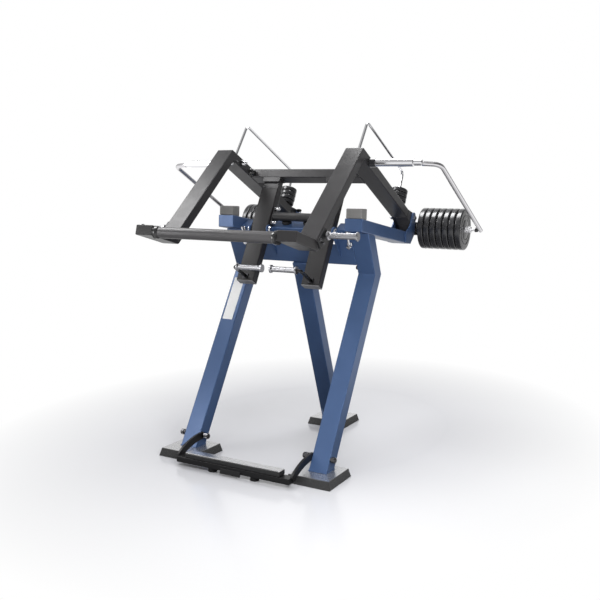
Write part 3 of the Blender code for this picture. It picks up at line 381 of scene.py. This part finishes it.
tread_steel = Look("tread_steel", (0.026, 0.026, 0.027), roughness=0.27)
tread_up = tread_steel.facing_up(low=0.55, high=0.95)
streaks = tread_steel.noise(260.0, detail=4.0, stretch=(0.03, 1.0, 1.0))
tread_steel.tint(tread_up, (0.62, 0.62, 0.63))
tread_steel.feed("Metallic", tread_up)
tread_steel.feed("Roughness", tread_steel.vary(streaks, low=0.20, high=0.34))
tread_steel.bump(streaks, strength=0.04, distance=0.0001)

# Looks of the CAD nodes that come in pairs, without left_ or right_, and of the others
PAIR_LOOKS = (
    (("leg", "side_arm", "clevis", "lever_ears"), blue),
    (("boomerang", "saddle"), charcoal),
    # Front arms and lever arms get the charcoal with painted shade
    (("front_arm", "lever_arm"), shaded_charcoal),
    (("arm_hub",), hub_paint_and_shade),
    (("grip_bracket",), black),
    (("weight_horn",), horn_chrome),
    (("guide_rod",), rod_chrome),
    (("guide_loop",), loop_chrome),
    (("loading_sleeve",), sleeve_chrome),
    (("arm_pin", "lever_pin"), chrome),
    (("step_pin",), dark_chrome),
    (("side_grip",), side_grip),
    (("lever_grip",), lever_grip),
    (("bump_block",), block_rubber),
    (("lever_bumper", "step_foot"), black_rubber),
    (("foot",), foot_plate),
)
SINGLE_LOOKS = (
    (("cross_beam", "rear_leg"), blue),
    (("upper_cross_beam", "link_tube"), charcoal),
    (("shoulder_bar",), bar_paint),
    (("step_frame", "step_latch"), black),
    (("step_tread",), tread_steel),
    (("rear_foot",), foot_plate),
)


def dress(name, look):
    """Give a CAD node one look all over."""
    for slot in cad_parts[name].material_slots:
        slot.material = look.material


for names, look in SINGLE_LOOKS:
    for name in names:
        dress(name, look)
for names, look in PAIR_LOOKS:
    for name in names:
        for side, _ in SIDES:
            dress(side + "_" + name, look)


# Mesh tools
SMOOTH_ANGLE = 35.0
SINK = 0.0005

CORNER_STEPS = 4
SOFT_SHARE_OF_THICKNESS = 0.35
SOFT_SHARE_OF_CORNER = 0.8

# A bolt's washer, hexagon and dome, in shares of its radius: (along, radius)
BOLT_WASHER = ((0.14, 1.50), (0.20, 1.42), (0.20, 0.0))
BOLT_HEXAGON = ((0.18, 0.0), (0.18, 1.12), (0.72, 1.12), (0.86, 1.0), (0.86, 0.0))
BOLT_DOME_FOOT = 0.80
BOLT_DOME_HEIGHT = 0.85
BOLT_DOME_RADIUS = 0.92
BOLT_DOME_STEPS = 6
BOLT_SEGMENTS = 24
HEXAGON_SEGMENTS = 6
DOME_SEGMENTS = 20

CAP_DOME_SHARE = 0.7
CAP_DOME_STEPS = 7
WASHER_EDGE = 0.4
NUT_SEGMENTS = 28

WELD_PITCH = 0.006
WELD_RIPPLE = 0.12
WELD_SEGMENTS = 6
OFF_SEAM = Vector((0.35, 0.25, 0.9))


def finish_piece(name, bm, look, body, smooth_angle=SMOOTH_ANGLE):
    """A mesh that rides on a CAD body and takes the given look as its finish."""
    bmesh.ops.recalc_face_normals(bm, faces=bm.faces)
    mesh = bpy.data.meshes.new(name)
    bm.to_mesh(mesh)
    bm.free()
    mesh.shade_smooth()
    mesh.set_sharp_from_angle(angle=math.radians(smooth_angle))
    mesh.materials.append(look.material)
    piece = bpy.data.objects.new(name, mesh)
    bpy.context.scene.collection.objects.link(piece)
    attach(piece, body)
    return piece


def quarter_turn(steps):
    """Angles from 0 to 90 degrees, both included."""
    return [math.pi / 2 * i / steps for i in range(steps + 1)]


def join_rings(bm, rings, closed=False):
    """Skin between rings of vertices; a point is a ring that names one vertex over and over."""
    pairs = list(zip(rings, rings[1:])) + ([(rings[-1], rings[0])] if closed else [])
    for low, high in pairs:
        count = len(low)
        for i in range(count):
            corners = [low[i], low[(i + 1) % count], high[(i + 1) % count], high[i]]
            kept = [v for n, v in enumerate(corners) if v is not corners[n - 1]]
            if len(kept) > 2:
                bm.faces.new(kept)


def lathe(bm, profile, base, axis, segments, closed=False):
    """Profile of (along, radius) points, turned about the axis through base."""
    turn = Vector(axis).to_track_quat("Z", "Y").to_matrix().to_4x4()
    spot = Matrix.Translation(base) @ turn
    angles = [math.tau * i / segments for i in range(segments)]
    rings = []
    for along, radius in profile:
        if radius == 0:
            rings.append([bm.verts.new(spot @ Vector((0, 0, along)))] * segments)
        else:
            places = [(radius * math.cos(a), radius * math.sin(a), along) for a in angles]
            rings.append([bm.verts.new(spot @ Vector(p)) for p in places])
    join_rings(bm, rings, closed)


def slab(bm, centre, along, across, out, size, corner, thick):
    """Plate with rounded corners.

    Its back has its middle at centre, size is (along, across), and it stands out by thick.
    """
    half_a, half_b = size[0] / 2 - corner, size[1] / 2 - corner
    rim = []
    for quarter, (sa, sb) in enumerate(((1, 1), (-1, 1), (-1, -1), (1, -1))):
        for angle in quarter_turn(CORNER_STEPS):
            angle += quarter * math.pi / 2
            rim.append((sa * half_a + corner * math.cos(angle),
                        sb * half_b + corner * math.sin(angle)))
    soft = min(thick * SOFT_SHARE_OF_THICKNESS, corner * SOFT_SHARE_OF_CORNER)
    rings = []
    for height, inset in ((0.0, 0.0), (thick - soft, 0.0), (thick, soft)):
        scale_a = (size[0] / 2 - inset) / (size[0] / 2)
        scale_b = (size[1] / 2 - inset) / (size[1] / 2)
        middle = centre + out * height
        rings.append([bm.verts.new(middle + along * a * scale_a + across * b * scale_b)
                      for a, b in rim])
    join_rings(bm, rings)
    bm.faces.new(rings[0])
    bm.faces.new(rings[-1])


def scaled(shape, factor):
    """Profile with both of its measures multiplied."""
    return [(along * factor, radius * factor) for along, radius in shape]


def bolt(bm, base, axis, radius):
    """Washer, hexagon and dome, one above the other."""
    foot = [(-SINK, 0), (-SINK, radius * BOLT_WASHER[0][1])]
    lathe(bm, foot + scaled(BOLT_WASHER, radius), base, axis, BOLT_SEGMENTS)
    lathe(bm, scaled(BOLT_HEXAGON, radius), base, axis, HEXAGON_SEGMENTS)
    dome = [(BOLT_DOME_FOOT, 0)]
    dome += [(BOLT_DOME_FOOT + BOLT_DOME_HEIGHT * math.sin(t), BOLT_DOME_RADIUS * math.cos(t))
             for t in quarter_turn(BOLT_DOME_STEPS)[:-1]]
    dome += [(BOLT_DOME_FOOT + BOLT_DOME_HEIGHT, 0)]
    lathe(bm, scaled(dome, radius), base, axis, DOME_SEGMENTS)


def cap(bm, base, axis, radius, length):
    """Round nut cover: a cylinder that ends in a dome."""
    dome = min(radius, length * CAP_DOME_SHARE)
    curve = [(length - dome * (1 - math.sin(t)), radius * math.cos(t))
             for t in quarter_turn(CAP_DOME_STEPS)[:-1]]
    profile = [(-SINK, 0), (-SINK, radius)] + curve + [(length, 0)]
    lathe(bm, profile, base, axis, NUT_SEGMENTS)


def washer(bm, base, axis, radius, thick):
    """Flat ring under a nut, with a soft edge."""
    soft = thick * WASHER_EDGE
    profile = [(-SINK, 0), (-SINK, radius), (thick - soft, radius), (thick, radius - soft),
               (thick, 0)]
    lathe(bm, profile, base, axis, NUT_SEGMENTS)


def weld(bm, route, radius, closed=False):
    """Weld bead: a thin round seam along a route, with the ripple of its passes."""
    points = []
    runs = list(zip(route, route[1:])) + ([(route[-1], route[0])] if closed else [])
    for start, end in runs:
        count = max(2, int((end - start).length / (WELD_PITCH / 2)))
        points += [start.lerp(end, i / count) for i in range(count)]
    if not closed:
        points.append(route[-1])
    angles = [math.tau * i / WELD_SEGMENTS for i in range(WELD_SEGMENTS)]
    rings = []
    total = len(points)
    for i, point in enumerate(points):
        before = points[i - 1] if i or closed else point
        after = points[(i + 1) % total] if i < total - 1 or closed else point
        along = (after - before).normalized()
        side = along.cross(OFF_SEAM).normalized()
        other = along.cross(side)
        swell = radius * (1 + WELD_RIPPLE if i % 2 else 1 - WELD_RIPPLE)
        rings.append([bm.verts.new(point + (side * math.cos(a) + other * math.sin(a)) * swell)
                      for a in angles])
    join_rings(bm, rings, closed)
    if not closed:
        bm.faces.new(rings[0])
        bm.faces.new(rings[-1])


# Weight discs, as separate plates on their horns
HORN_AXIS = (1.545, 1.498)
HORN_RADIUS = 0.0245
DISC_COUNT = 7
DISC_FIRST_X = 0.580
DISC_THICK = 0.0456
DISC_RADIUS = 0.148
DISC_RIM = 0.0085
SMALL_DISC_COUNT = 3
SMALL_DISC_THICK = 0.033
SMALL_DISC_RADIUS = 0.061
SMALL_DISC_RIM = 0.0065
DISC_PLAY = 0.0006
DISC_SEAT_GAP = 0.0003
DISC_SMOOTH_ANGLE = 30.0
DISC_SEGMENTS = 72
RIM_STEPS = 7
SMALL_DISC_SEGMENTS = 48

# Face of a disc from its hub outward: shares of its thickness and of its radius
DISC_FACE = ((0.0, 0.42), (0.02, 0.45), (0.14, 0.47), (0.14, 0.50), (0.04, 0.53), (0.04, 0.67),
             (0.16, 0.69), (0.16, 0.73), (0.06, 0.76))

# Ring round the horn in the outer disc's face: depth, and distance from the horn
DISC_INSERT = ((0.004, 0.0005), (0.0, 0.001), (0.0, 0.003), (0.002, 0.004), (0.006, 0.004),
               (0.006, 0.0005))
INSERT_OUT = 0.0005
INSERT_SEGMENTS = 48


def disc_profile(thick, radius, bore, rim):
    """Closed profile of one disc: round rim, and a hub and a band between grooves on both faces."""
    edge = DISC_FACE[-1][0] * thick
    face = [(0.0, bore)] + [(depth * thick, share * radius) for depth, share in DISC_FACE]
    curve = [(edge + rim * (1 - math.cos(t)), radius - rim * (1 - math.sin(t)))
             for t in quarter_turn(RIM_STEPS)]
    half = face + curve
    other = [(thick - along, r) for along, r in half[::-1]]
    return half + other


def make_discs():
    """Seven large discs on each horn and three small ones on each rear post."""
    large = disc_profile(DISC_THICK, DISC_RADIUS, HORN_RADIUS + DISC_PLAY, DISC_RIM)
    small = disc_profile(SMALL_DISC_THICK, SMALL_DISC_RADIUS, LOOP_RADIUS + DISC_PLAY,
                         SMALL_DISC_RIM)
    insert = [(depth, HORN_RADIUS + distance) for depth, distance in DISC_INSERT]
    insert_x = DISC_FIRST_X + DISC_COUNT * DISC_THICK + INSERT_OUT
    for side, sign in SIDES:
        bm = bmesh.new()
        for i in range(DISC_COUNT):
            base = place(sign * (DISC_FIRST_X + i * DISC_THICK), *HORN_AXIS)
            lathe(bm, large, base, (sign, 0, 0), DISC_SEGMENTS, True)
        stack = finish_piece(side + "_disc_stack", bm, disc_enamel, side + "_discs",
                             DISC_SMOOTH_ANGLE)
        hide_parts(side + "_discs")

        bm = bmesh.new()
        base = place(sign * insert_x, *HORN_AXIS)
        lathe(bm, insert, base, (-sign, 0, 0), INSERT_SEGMENTS, True)
        finish_piece(side + "_disc_insert", bm, dark_chrome, side + "_discs")

        bm = bmesh.new()
        seat = rear_tube_top(sign * LOOP_X, SMALL_HORN_Y)
        seat += rear_tube_up * (SMALL_BASE_HEIGHT + DISC_SEAT_GAP)
        for i in range(SMALL_DISC_COUNT):
            base = seat + rear_tube_up * (i * SMALL_DISC_THICK)
            lathe(bm, small, base, rear_tube_up, SMALL_DISC_SEGMENTS, True)
        stack = finish_piece(side + "_small_disc_stack", bm, disc_enamel, side + "_small_discs",
                             DISC_SMOOTH_ANGLE)
        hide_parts(side + "_small_discs")


# Nuts, caps and bolts: (y, z) places on faces across the machine, and the faces' X
ARM_NUT = (0.620, 1.912)
ARM_DARK_CAP = (0.740, 1.857)
REAR_CAP = (1.430, 1.603)
CHEEK_INNER_X = 0.4032
ARM_PIVOT = (1.455, 1.570)
ARM_PIN_HEAD_X = 0.3865
UNDER_NUT_X = 0.425
UNDER_NUT_Y = 0.555
BRACKET_FACE_X = 0.5438
BRACKET_BOLTS = ((-0.078, 1.444), (-0.045, 1.424), (0.003, 1.487))
LINK_FLANGE_X = 0.1677
LINK_BOLTS = ((0.675, 1.608), (0.623, 1.516))
HORN_NUT_X = 0.966
SADDLE_BOLT_X = 0.292
SADDLE_BOLT_RISE = 0.010
SADDLE_BOLT_SINK = 0.0042

# Radius and length of nuts and caps, radius and thickness of washers, and radius of bolts
ARM_NUT_SIZE = (0.0155, 0.032)
UNDER_NUT_SIZE = (0.0105, 0.018)
DARK_CAP_SIZE = (0.0235, 0.032)
PIN_NUT_SIZE = (0.0150, 0.034)
HORN_NUT_SIZE = (0.0160, 0.026)
REAR_CAP_SIZE = (0.0125, 0.034)
LINK_NUT_SIZE = (0.0110, 0.026)
ARM_WASHER = (0.0205, 0.014)
UNDER_WASHER = (0.0150, 0.008)
DARK_CAP_WASHER = (0.0280, 0.009)
LINK_WASHER = (0.0150, 0.010)
BRACKET_BOLT = 0.0078
SADDLE_BOLT = 0.0050
NUT_SINK = 0.001

# Collar at each end of the shoulder bar
BAR_RADIUS = 0.0327
BAR_COLLAR_RADIUS = 0.0382
BAR_COLLAR_LENGTH = 0.022
COLLAR_SEGMENTS = 48
COLLAR_STEPS = 8

# Knob on the inner side of each front leg
KNOB_Z = 1.238
KNOB_SETBACK = 0.035
KNOB_PROFILE = ((0, 0), (0, 0.006), (0.004, 0.006), (0.006, 0.013), (0.014, 0.014), (0.019, 0.011),
                (0.020, 0))
KNOB_SEGMENTS = 24


def on_washer(spot, axis, size):
    """Foot of a nut that sits on a washer."""
    return spot + axis * (size[1] - NUT_SINK)


def make_bolts():
    """Bolt heads, domed nuts and caps on the squat arm, the lever and the frame."""
    bar_low, bar_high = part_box("shoulder_bar")
    bar_middle = (bar_low + bar_high) / 2
    rise = BAR_COLLAR_RADIUS - BAR_RADIUS
    collar = [(0.0, 0.0)]
    collar += [(BAR_COLLAR_LENGTH * math.sin(t), BAR_RADIUS + rise * math.cos(t))
               for t in quarter_turn(COLLAR_STEPS)]
    collar += [(BAR_COLLAR_LENGTH, 0.0)]
    for side, sign in SIDES:
        inner = Vector((-sign, 0, 0))
        outer = Vector((sign, 0, 0))
        arm_nut = place(sign * TUBE_INNER_X, *ARM_NUT)
        dark_cap = place(sign * TUBE_INNER_X, *ARM_DARK_CAP)
        under_nut = rear_tube_top(sign * UNDER_NUT_X, UNDER_NUT_Y) - rear_tube_up * ARM_DEPTH
        link_bolts = [place(sign * LINK_FLANGE_X, y, z) for y, z in LINK_BOLTS]

        bm = bmesh.new()
        cap(bm, on_washer(arm_nut, inner, ARM_WASHER), inner, *ARM_NUT_SIZE)
        cap(bm, on_washer(under_nut, -rear_tube_up, UNDER_WASHER), -rear_tube_up, *UNDER_NUT_SIZE)
        finish_piece(side + "_arm_nuts", bm, chrome, "squat_arm")

        bm = bmesh.new()
        washer(bm, arm_nut, inner, *ARM_WASHER)
        washer(bm, under_nut, -rear_tube_up, *UNDER_WASHER)
        washer(bm, dark_cap, inner, *DARK_CAP_WASHER)
        cap(bm, on_washer(dark_cap, inner, DARK_CAP_WASHER), inner, *DARK_CAP_SIZE)
        collar_foot = Vector((sign * BAR_FLANGE_X, bar_middle.y, bar_middle.z))
        lathe(bm, collar, collar_foot, inner, COLLAR_SEGMENTS)
        finish_piece(side + "_arm_caps", bm, gloss_black, "squat_arm")

        bm = bmesh.new()
        for y, z in BRACKET_BOLTS:
            bolt(bm, place(sign * BRACKET_FACE_X, y, z), outer, BRACKET_BOLT)
        finish_piece(side + "_bracket_bolts", bm, dark_chrome, "squat_arm")

        bm = bmesh.new()
        cap(bm, place(sign * ARM_PIN_HEAD_X, *ARM_PIVOT), inner, *PIN_NUT_SIZE)
        finish_piece(side + "_pin_nut", bm, chrome, "frame")

        bm = bmesh.new()
        cap(bm, place(sign * HORN_NUT_X, *HORN_AXIS), outer, *HORN_NUT_SIZE)
        finish_piece(side + "_horn_nut", bm, gloss_black, "squat_arm")

        bm = bmesh.new()
        cap(bm, place(sign * CHEEK_INNER_X, *REAR_CAP), inner, *REAR_CAP_SIZE)
        finish_piece(side + "_rear_cap", bm, gloss_black, "frame")

        bm = bmesh.new()
        for spot in link_bolts:
            cap(bm, on_washer(spot, inner, LINK_WASHER), inner, *LINK_NUT_SIZE)
        finish_piece(side + "_link_nuts", bm, chrome, "support_lever")

        bm = bmesh.new()
        for spot in link_bolts:
            washer(bm, spot, inner, *LINK_WASHER)
        saddle_bolt = place(sign * SADDLE_BOLT_X, *LEVER_FOOT)
        saddle_bolt += lever_dir * (LEVER_LENGTH + SADDLE_BOLT_RISE)
        bolt(bm, saddle_bolt - lever_front * SADDLE_BOLT_SINK, lever_front, SADDLE_BOLT)
        finish_piece(side + "_lever_bolts", bm, dark_chrome, "support_lever")

        bm = bmesh.new()
        knob = leg_face(sign * TUBE_INNER_X, KNOB_Z) + Y_AXIS * KNOB_SETBACK
        lathe(bm, KNOB_PROFILE, knob, inner, KNOB_SEGMENTS)
        finish_piece(side + "_leg_knob", bm, black_rubber, "frame")


# Band hooks: a rod between two small plates, with a round foot
HOOK_X = 0.390
HOOK_TOP_Z = 1.490
HOOK_LOW_Z = 1.385
HOOK_TOP_INSET = 0.016
HOOK_LOW_INSET = 0.012
HOOK_PLATE = (0.028, 0.034)
HOOK_PLATE_CORNER = 0.006
HOOK_PLATE_THICK = 0.008
HOOK_ROD_RADIUS = 0.008
HOOK_ROD_OUT = 0.010
HOOK_ROD_SEGMENTS = 20
HOOK_FOOT_OUT = 0.008
HOOK_FOOT_PROFILE = ((0, 0), (0, 0.011), (0.004, 0.015), (0.012, 0.017), (0.020, 0.013), (0.022, 0))
HOOK_FOOT_SEGMENTS = 24


def make_band_hooks():
    """Chrome hooks on the front of the cross beam, beside the legs."""
    for side, sign in SIDES:
        top = leg_face(sign * HOOK_X, HOOK_TOP_Z)
        low = leg_face(sign * HOOK_X, HOOK_LOW_Z)
        height = (top - low).length
        rod = ((0, 0), (0, HOOK_ROD_RADIUS), (height, HOOK_ROD_RADIUS), (height, 0))
        bm = bmesh.new()
        for end in (top - upper_dir * HOOK_TOP_INSET, low + upper_dir * HOOK_LOW_INSET):
            slab(bm, end, upper_dir, X_AXIS, upper_front, HOOK_PLATE, HOOK_PLATE_CORNER,
                 HOOK_PLATE_THICK)
        lathe(bm, rod, low + upper_front * HOOK_ROD_OUT, upper_dir, HOOK_ROD_SEGMENTS)
        foot = low + upper_front * HOOK_FOOT_OUT
        lathe(bm, HOOK_FOOT_PROFILE, foot, upper_front, HOOK_FOOT_SEGMENTS)
        finish_piece(side + "_band_hook", bm, chrome, "frame")


LABEL_X = -0.4760
LABEL_LOW_Z = 0.842
LABEL_HIGH_Z = 1.120
LABEL_WIDTH = 0.078
LABEL_CORNER = 0.003
LABEL_THICK = 0.0012


def make_label():
    """Bare white plate on the front of the left leg."""
    centre = leg_face(LABEL_X, (LABEL_LOW_Z + LABEL_HIGH_Z) / 2)
    size = ((LABEL_HIGH_Z - LABEL_LOW_Z) / leg_dir.z, LABEL_WIDTH)
    bm = bmesh.new()
    slab(bm, centre, leg_dir, X_AXIS, leg_front, size, LABEL_CORNER, LABEL_THICK)
    finish_piece("label_plate", bm, label_white, "frame")


CAP_INSET = 0.001
CAP_CORNER = 0.003
CAP_THICK = 0.003


def make_end_caps():
    """Plastic caps in the lower ends of the lever arms."""
    size = (LEVER_DEPTH - 2 * CAP_INSET, LEVER_WIDTH - 2 * CAP_INSET)
    for side, sign in SIDES:
        foot = place(sign * LEVER_MIDDLE_X, *LEVER_FOOT) - lever_front * (LEVER_DEPTH / 2)
        bm = bmesh.new()
        slab(bm, foot, lever_front, X_AXIS, -lever_dir, size, CAP_CORNER, CAP_THICK)
        finish_piece(side + "_lever_cap", bm, cap_plastic, "support_lever")


FLAP_TOP = 0.0775
FLAP_DROP = 0.036
FLAP_OUT = 0.0070
FLAP_OVERHANG = 0.004
FLAP_CORNER = 0.009
FLAP_THICK = 0.0048


def make_saddle_flaps():
    """Thin plates that hang from the front edges of the saddles."""
    size = (FLAP_DROP, LEVER_WIDTH + 2 * FLAP_OVERHANG)
    for side, sign in SIDES:
        middle = place(sign * LEVER_MIDDLE_X, *LEVER_FOOT) + lever_front * FLAP_OUT
        middle += lever_dir * (LEVER_LENGTH + FLAP_TOP - FLAP_DROP / 2)
        bm = bmesh.new()
        slab(bm, middle, lever_dir, X_AXIS, lever_front, size, FLAP_CORNER, FLAP_THICK)
        finish_piece(side + "_saddle_flap", bm, charcoal, "support_lever")


# Weld seams
FOOT_SEAM_RADIUS = 0.0028
SEAM_RADIUS = 0.0026
SEAM_LIFT = 0.0015
SEAM_MARGIN = 0.0005
SEAM_OUT = 0.001
BEAM_SEAM_Z = (1.262, 1.476)
ARM_SEAM_Y = (0.772, 0.856)
WELD_SMOOTH_ANGLE = 60.0


def foot_seam(bm, x, front_y, slope, depth):
    """Seam round a sloping leg, where it stands on its foot plate."""
    half_y = depth * math.hypot(1, slope) / 2
    centre = place(x, front_y + half_y, FOOT_TOP_Z + SEAM_LIFT)
    across = X_AXIS * (TUBE_WIDTH / 2 + SEAM_MARGIN)
    along = Y_AXIS * (half_y + SEAM_MARGIN)
    corners = [centre + across * sx + along * sy for sx, sy in ((1, 1), (-1, 1), (-1, -1), (1, -1))]
    weld(bm, corners, FOOT_SEAM_RADIUS, True)


def make_welds():
    """Seams where tubes meet plates and each other."""
    bm = bmesh.new()
    for _, sign in SIDES:
        front_y = KNEE[0] + LEG_SLOPE * (FOOT_TOP_Z - KNEE[1])
        foot_seam(bm, sign * TUBE_MIDDLE_X, front_y, LEG_SLOPE, LEG_DEPTH)
        weld(bm, [leg_face(sign * (TUBE_INNER_X - SEAM_OUT), z) for z in BEAM_SEAM_Z], SEAM_RADIUS)
    rear_y = REAR_LEG_TOP[0] + REAR_LEG_SLOPE * (REAR_LEG_TOP[1] - FOOT_TOP_Z)
    foot_seam(bm, 0, rear_y, REAR_LEG_SLOPE, REAR_LEG_DEPTH)
    finish_piece("frame_welds", bm, blue, "frame", WELD_SMOOTH_ANGLE)

    bm = bmesh.new()
    for _, sign in SIDES:
        top = [rear_tube_top(sign * (TUBE_INNER_X - SEAM_OUT), y) for y in ARM_SEAM_Y]
        low = [p - rear_tube_up * ARM_DEPTH for p in top]
        weld(bm, [top[0], top[1], low[1], low[0]], SEAM_RADIUS, True)
    finish_piece("arm_welds", bm, charcoal, "squat_arm", WELD_SMOOTH_ANGLE)


make_discs()
make_bolts()
make_band_hooks()
make_label()
make_end_caps()
make_saddle_flaps()
make_welds()

# Floor, which fades to white over an oval: the half widths at which the fade starts and ends
FLOOR_RADII = (1.0, 3.0, 6.0, 14.0)
FLOOR_SEGMENTS = 96
FLOOR_DROP = 0.0005
FLOOR_CENTRE = (-0.10, 1.25)
FLOOR_STRETCH = 1.35
FLOOR_GREY = 0.95
FLOOR_WHITE = 2.15
FLOOR_SEEN = (0.63, 0.633, 0.667)
FLOOR_BOUNCE = (0.14, 0.14, 0.15)
FLOOR_ROUGHNESS = (0.15, 0.20)
FLOOR_SPECULAR = 0.7


def make_floor():
    """Pale glossy floor that turns white away from the machine."""
    bm = bmesh.new()
    rings = [[bm.verts.new((0, 0, 0))] * FLOOR_SEGMENTS]
    for radius in FLOOR_RADII:
        rings.append([bm.verts.new((radius * math.cos(a), radius * math.sin(a), 0))
                      for a in (math.tau * i / FLOOR_SEGMENTS for i in range(FLOOR_SEGMENTS))])
    join_rings(bm, rings)
    mesh = bpy.data.meshes.new("floor")
    bm.to_mesh(mesh)
    bm.free()
    floor = bpy.data.objects.new("floor", mesh)
    bpy.context.scene.collection.objects.link(floor)
    floor.location.z = -FLOOR_DROP

    look = Look("floor", FLOOR_SEEN, FLOOR_ROUGHNESS[1], Specular_IOR_Level=FLOOR_SPECULAR)
    mesh.materials.append(look.material)
    look.feed("Roughness", look.vary(look.noise(1.5, detail=3.0), *FLOOR_ROUGHNESS))
    ray = look.node("ShaderNodeLightPath")
    look.feed("Base Color", look.mix(ray.outputs["Is Camera Ray"], FLOOR_BOUNCE, FLOOR_SEEN))
    seen = look.math("MAXIMUM", ray.outputs["Is Camera Ray"], ray.outputs["Is Glossy Ray"])
    x = look.math("SUBTRACT", look.part(0), FLOOR_CENTRE[0])
    y = look.math("SUBTRACT", look.part(1), FLOOR_CENTRE[1] - ORIGIN_Y)
    y = look.math("DIVIDE", y, FLOOR_STRETCH)
    square = look.math("ADD", look.math("MULTIPLY", x, x), look.math("MULTIPLY", y, y))
    fade = look.span(look.math("SQRT", square), FLOOR_GREY, FLOOR_WHITE, 0.0, 1.0)
    white = look.node("ShaderNodeEmission", {"Color": WHITE, "Strength": 1.0})
    shaders = (look.math("MULTIPLY", fade, seen), look.shader.outputs[0], white.outputs[0])
    blend = look.node("ShaderNodeMixShader", shaders)
    plug(look.tree, look.tree.nodes["Material Output"].inputs["Surface"], blend.outputs[0])
    return floor


no_floor = bpy.data.collections.new("no_floor")
no_floor.objects.link(make_floor())
no_floor.collection_objects[0].light_linking.link_state = "EXCLUDE"

# World: its light, and what glossy surfaces see of it in front, at the back and on the right
WORLD_LIGHT = 0.36
MIRROR_FRONT = 0.50
MIRROR_BACK = 1.0
MIRROR_RIGHT = 0.33
BACK_SPAN = (0.5, 0.88)
RIGHT_SPAN = (0.0, 0.40)


def make_world():
    """Soft grey light; the camera sees white, and glossy surfaces see grey, white and dark."""
    world = bpy.data.worlds.new("studio")
    world.use_nodes = True
    bpy.context.scene.world = world
    tree = world.node_tree
    light = tree.nodes["Background"]
    plug(tree, light.inputs["Color"], WHITE)
    plug(tree, light.inputs["Strength"], WORLD_LIGHT)
    coords = add_node(tree, "ShaderNodeTexCoord")
    split = add_node(tree, "ShaderNodeSeparateXYZ", (coords.outputs["Generated"],))
    back = add_node(tree, "ShaderNodeMapRange",
                    (split.outputs["Y"], *BACK_SPAN, MIRROR_FRONT, MIRROR_BACK))
    right = add_node(tree, "ShaderNodeMapRange",
                     (split.outputs["X"], *RIGHT_SPAN, 1.0, MIRROR_RIGHT))
    both = add_node(tree, "ShaderNodeMath", (back.outputs[0], right.outputs[0]),
                    operation="MULTIPLY")
    white = add_node(tree, "ShaderNodeBackground", (WHITE, 1.0))
    mirror = add_node(tree, "ShaderNodeBackground", (WHITE, both.outputs[0]))
    path = add_node(tree, "ShaderNodeLightPath")
    glossy = add_node(tree, "ShaderNodeMixShader",
                      (path.outputs["Is Glossy Ray"], light.outputs[0], mirror.outputs[0]))
    shown = add_node(tree, "ShaderNodeMixShader",
                     (path.outputs["Is Camera Ray"], glossy.outputs[0], white.outputs[0]))
    plug(tree, tree.nodes["World Output"].inputs["Surface"], shown.outputs[0])


# Lamps that no reflection shows, and panels that only reflections show: name, place, target,
# width and height, and power in watts
LAMPS = (
    ("key", (-0.6, 0.8, 4.8), (0, 0.6, 1.0), (2.6, 2.6), 159.0),
    ("front", (0.4, -3.0, 3.4), (0, 0, 1.0), (2.4, 1.6), 37.0),
    ("front_right", (1.5, -1.9, 1.3), (0.45, -0.2, 0.4), (0.8, 0.8), 30.0),
    ("right", (1.9, 0.1, 1.1), (0.5, 0, 1.0), (0.8, 1.6), 5.0),
)
PANELS = (
    ("upper_left", (-1.85, -0.85, 3.3), (-0.45, -0.2, 1.75), (1.2, 1.2), 44.0),
    ("front_left", (-2.1, -2.6, 1.5), (-0.3, 0, 1.5), (1.2, 1.0), 26.0),
    ("over_discs", (0.20, 0.65, 3.4), (0.7, 0.8, 1.5), (0.9, 0.9), 34.0),
)


def make_lamp(name, spot, target, size, power):
    """Area lamp that points at a target, and that neither the camera nor a reflection shows."""
    lamp = bpy.data.lights.new(name, "AREA")
    lamp.shape = "RECTANGLE"
    lamp.size, lamp.size_y = size
    lamp.energy = power
    holder = bpy.data.objects.new(name, lamp)
    bpy.context.scene.collection.objects.link(holder)
    holder.location = spot
    holder.rotation_euler = (Vector(target) - Vector(spot)).to_track_quat("-Z", "Y").to_euler()
    holder.visible_camera = False
    holder.visible_glossy = False
    return holder


def make_panel(*values):
    """Area lamp that only reflections show, and not those in the floor."""
    holder = make_lamp(*values)
    holder.visible_glossy = True
    holder.visible_diffuse = False
    holder.light_linking.receiver_collection = no_floor


make_world()
for lamp in LAMPS:
    make_lamp(*lamp)
for panel in PANELS:
    make_panel(*panel)

# Camera of the photograph
CAMERA_SPOT = (2.39604, -3.82188, 1.59144)
CAMERA_YAW = 0.4835
CAMERA_PITCH = -0.1151
CAMERA_ROLL = 0.0261
SENSOR_WIDTH = 36.0
FOCAL_PIXELS = 760.31
PICTURE_PIXELS = 600.0


def make_camera():
    """Camera at the photograph's place, angle and focal length."""
    camera = bpy.data.cameras.new("camera")
    camera.sensor_width = SENSOR_WIDTH
    camera.lens = FOCAL_PIXELS / PICTURE_PIXELS * SENSOR_WIDTH
    holder = bpy.data.objects.new("camera", camera)
    bpy.context.scene.collection.objects.link(holder)
    level = Vector((math.cos(CAMERA_YAW), math.sin(CAMERA_YAW), 0.0))
    forward = Vector((-math.sin(CAMERA_YAW), math.cos(CAMERA_YAW), 0.0))
    ahead = forward * math.cos(CAMERA_PITCH) + Vector((0.0, 0.0, math.sin(CAMERA_PITCH)))
    above = level.cross(ahead)
    right = level * math.cos(CAMERA_ROLL) + above * math.sin(CAMERA_ROLL)
    up = above * math.cos(CAMERA_ROLL) - level * math.sin(CAMERA_ROLL)
    turn = Matrix((right, up, -ahead)).transposed().to_4x4()
    holder.matrix_world = Matrix.Translation(place(*CAMERA_SPOT)) @ turn
    bpy.context.scene.camera = holder


make_camera()
bpy.context.scene.view_settings.view_transform = "Standard"
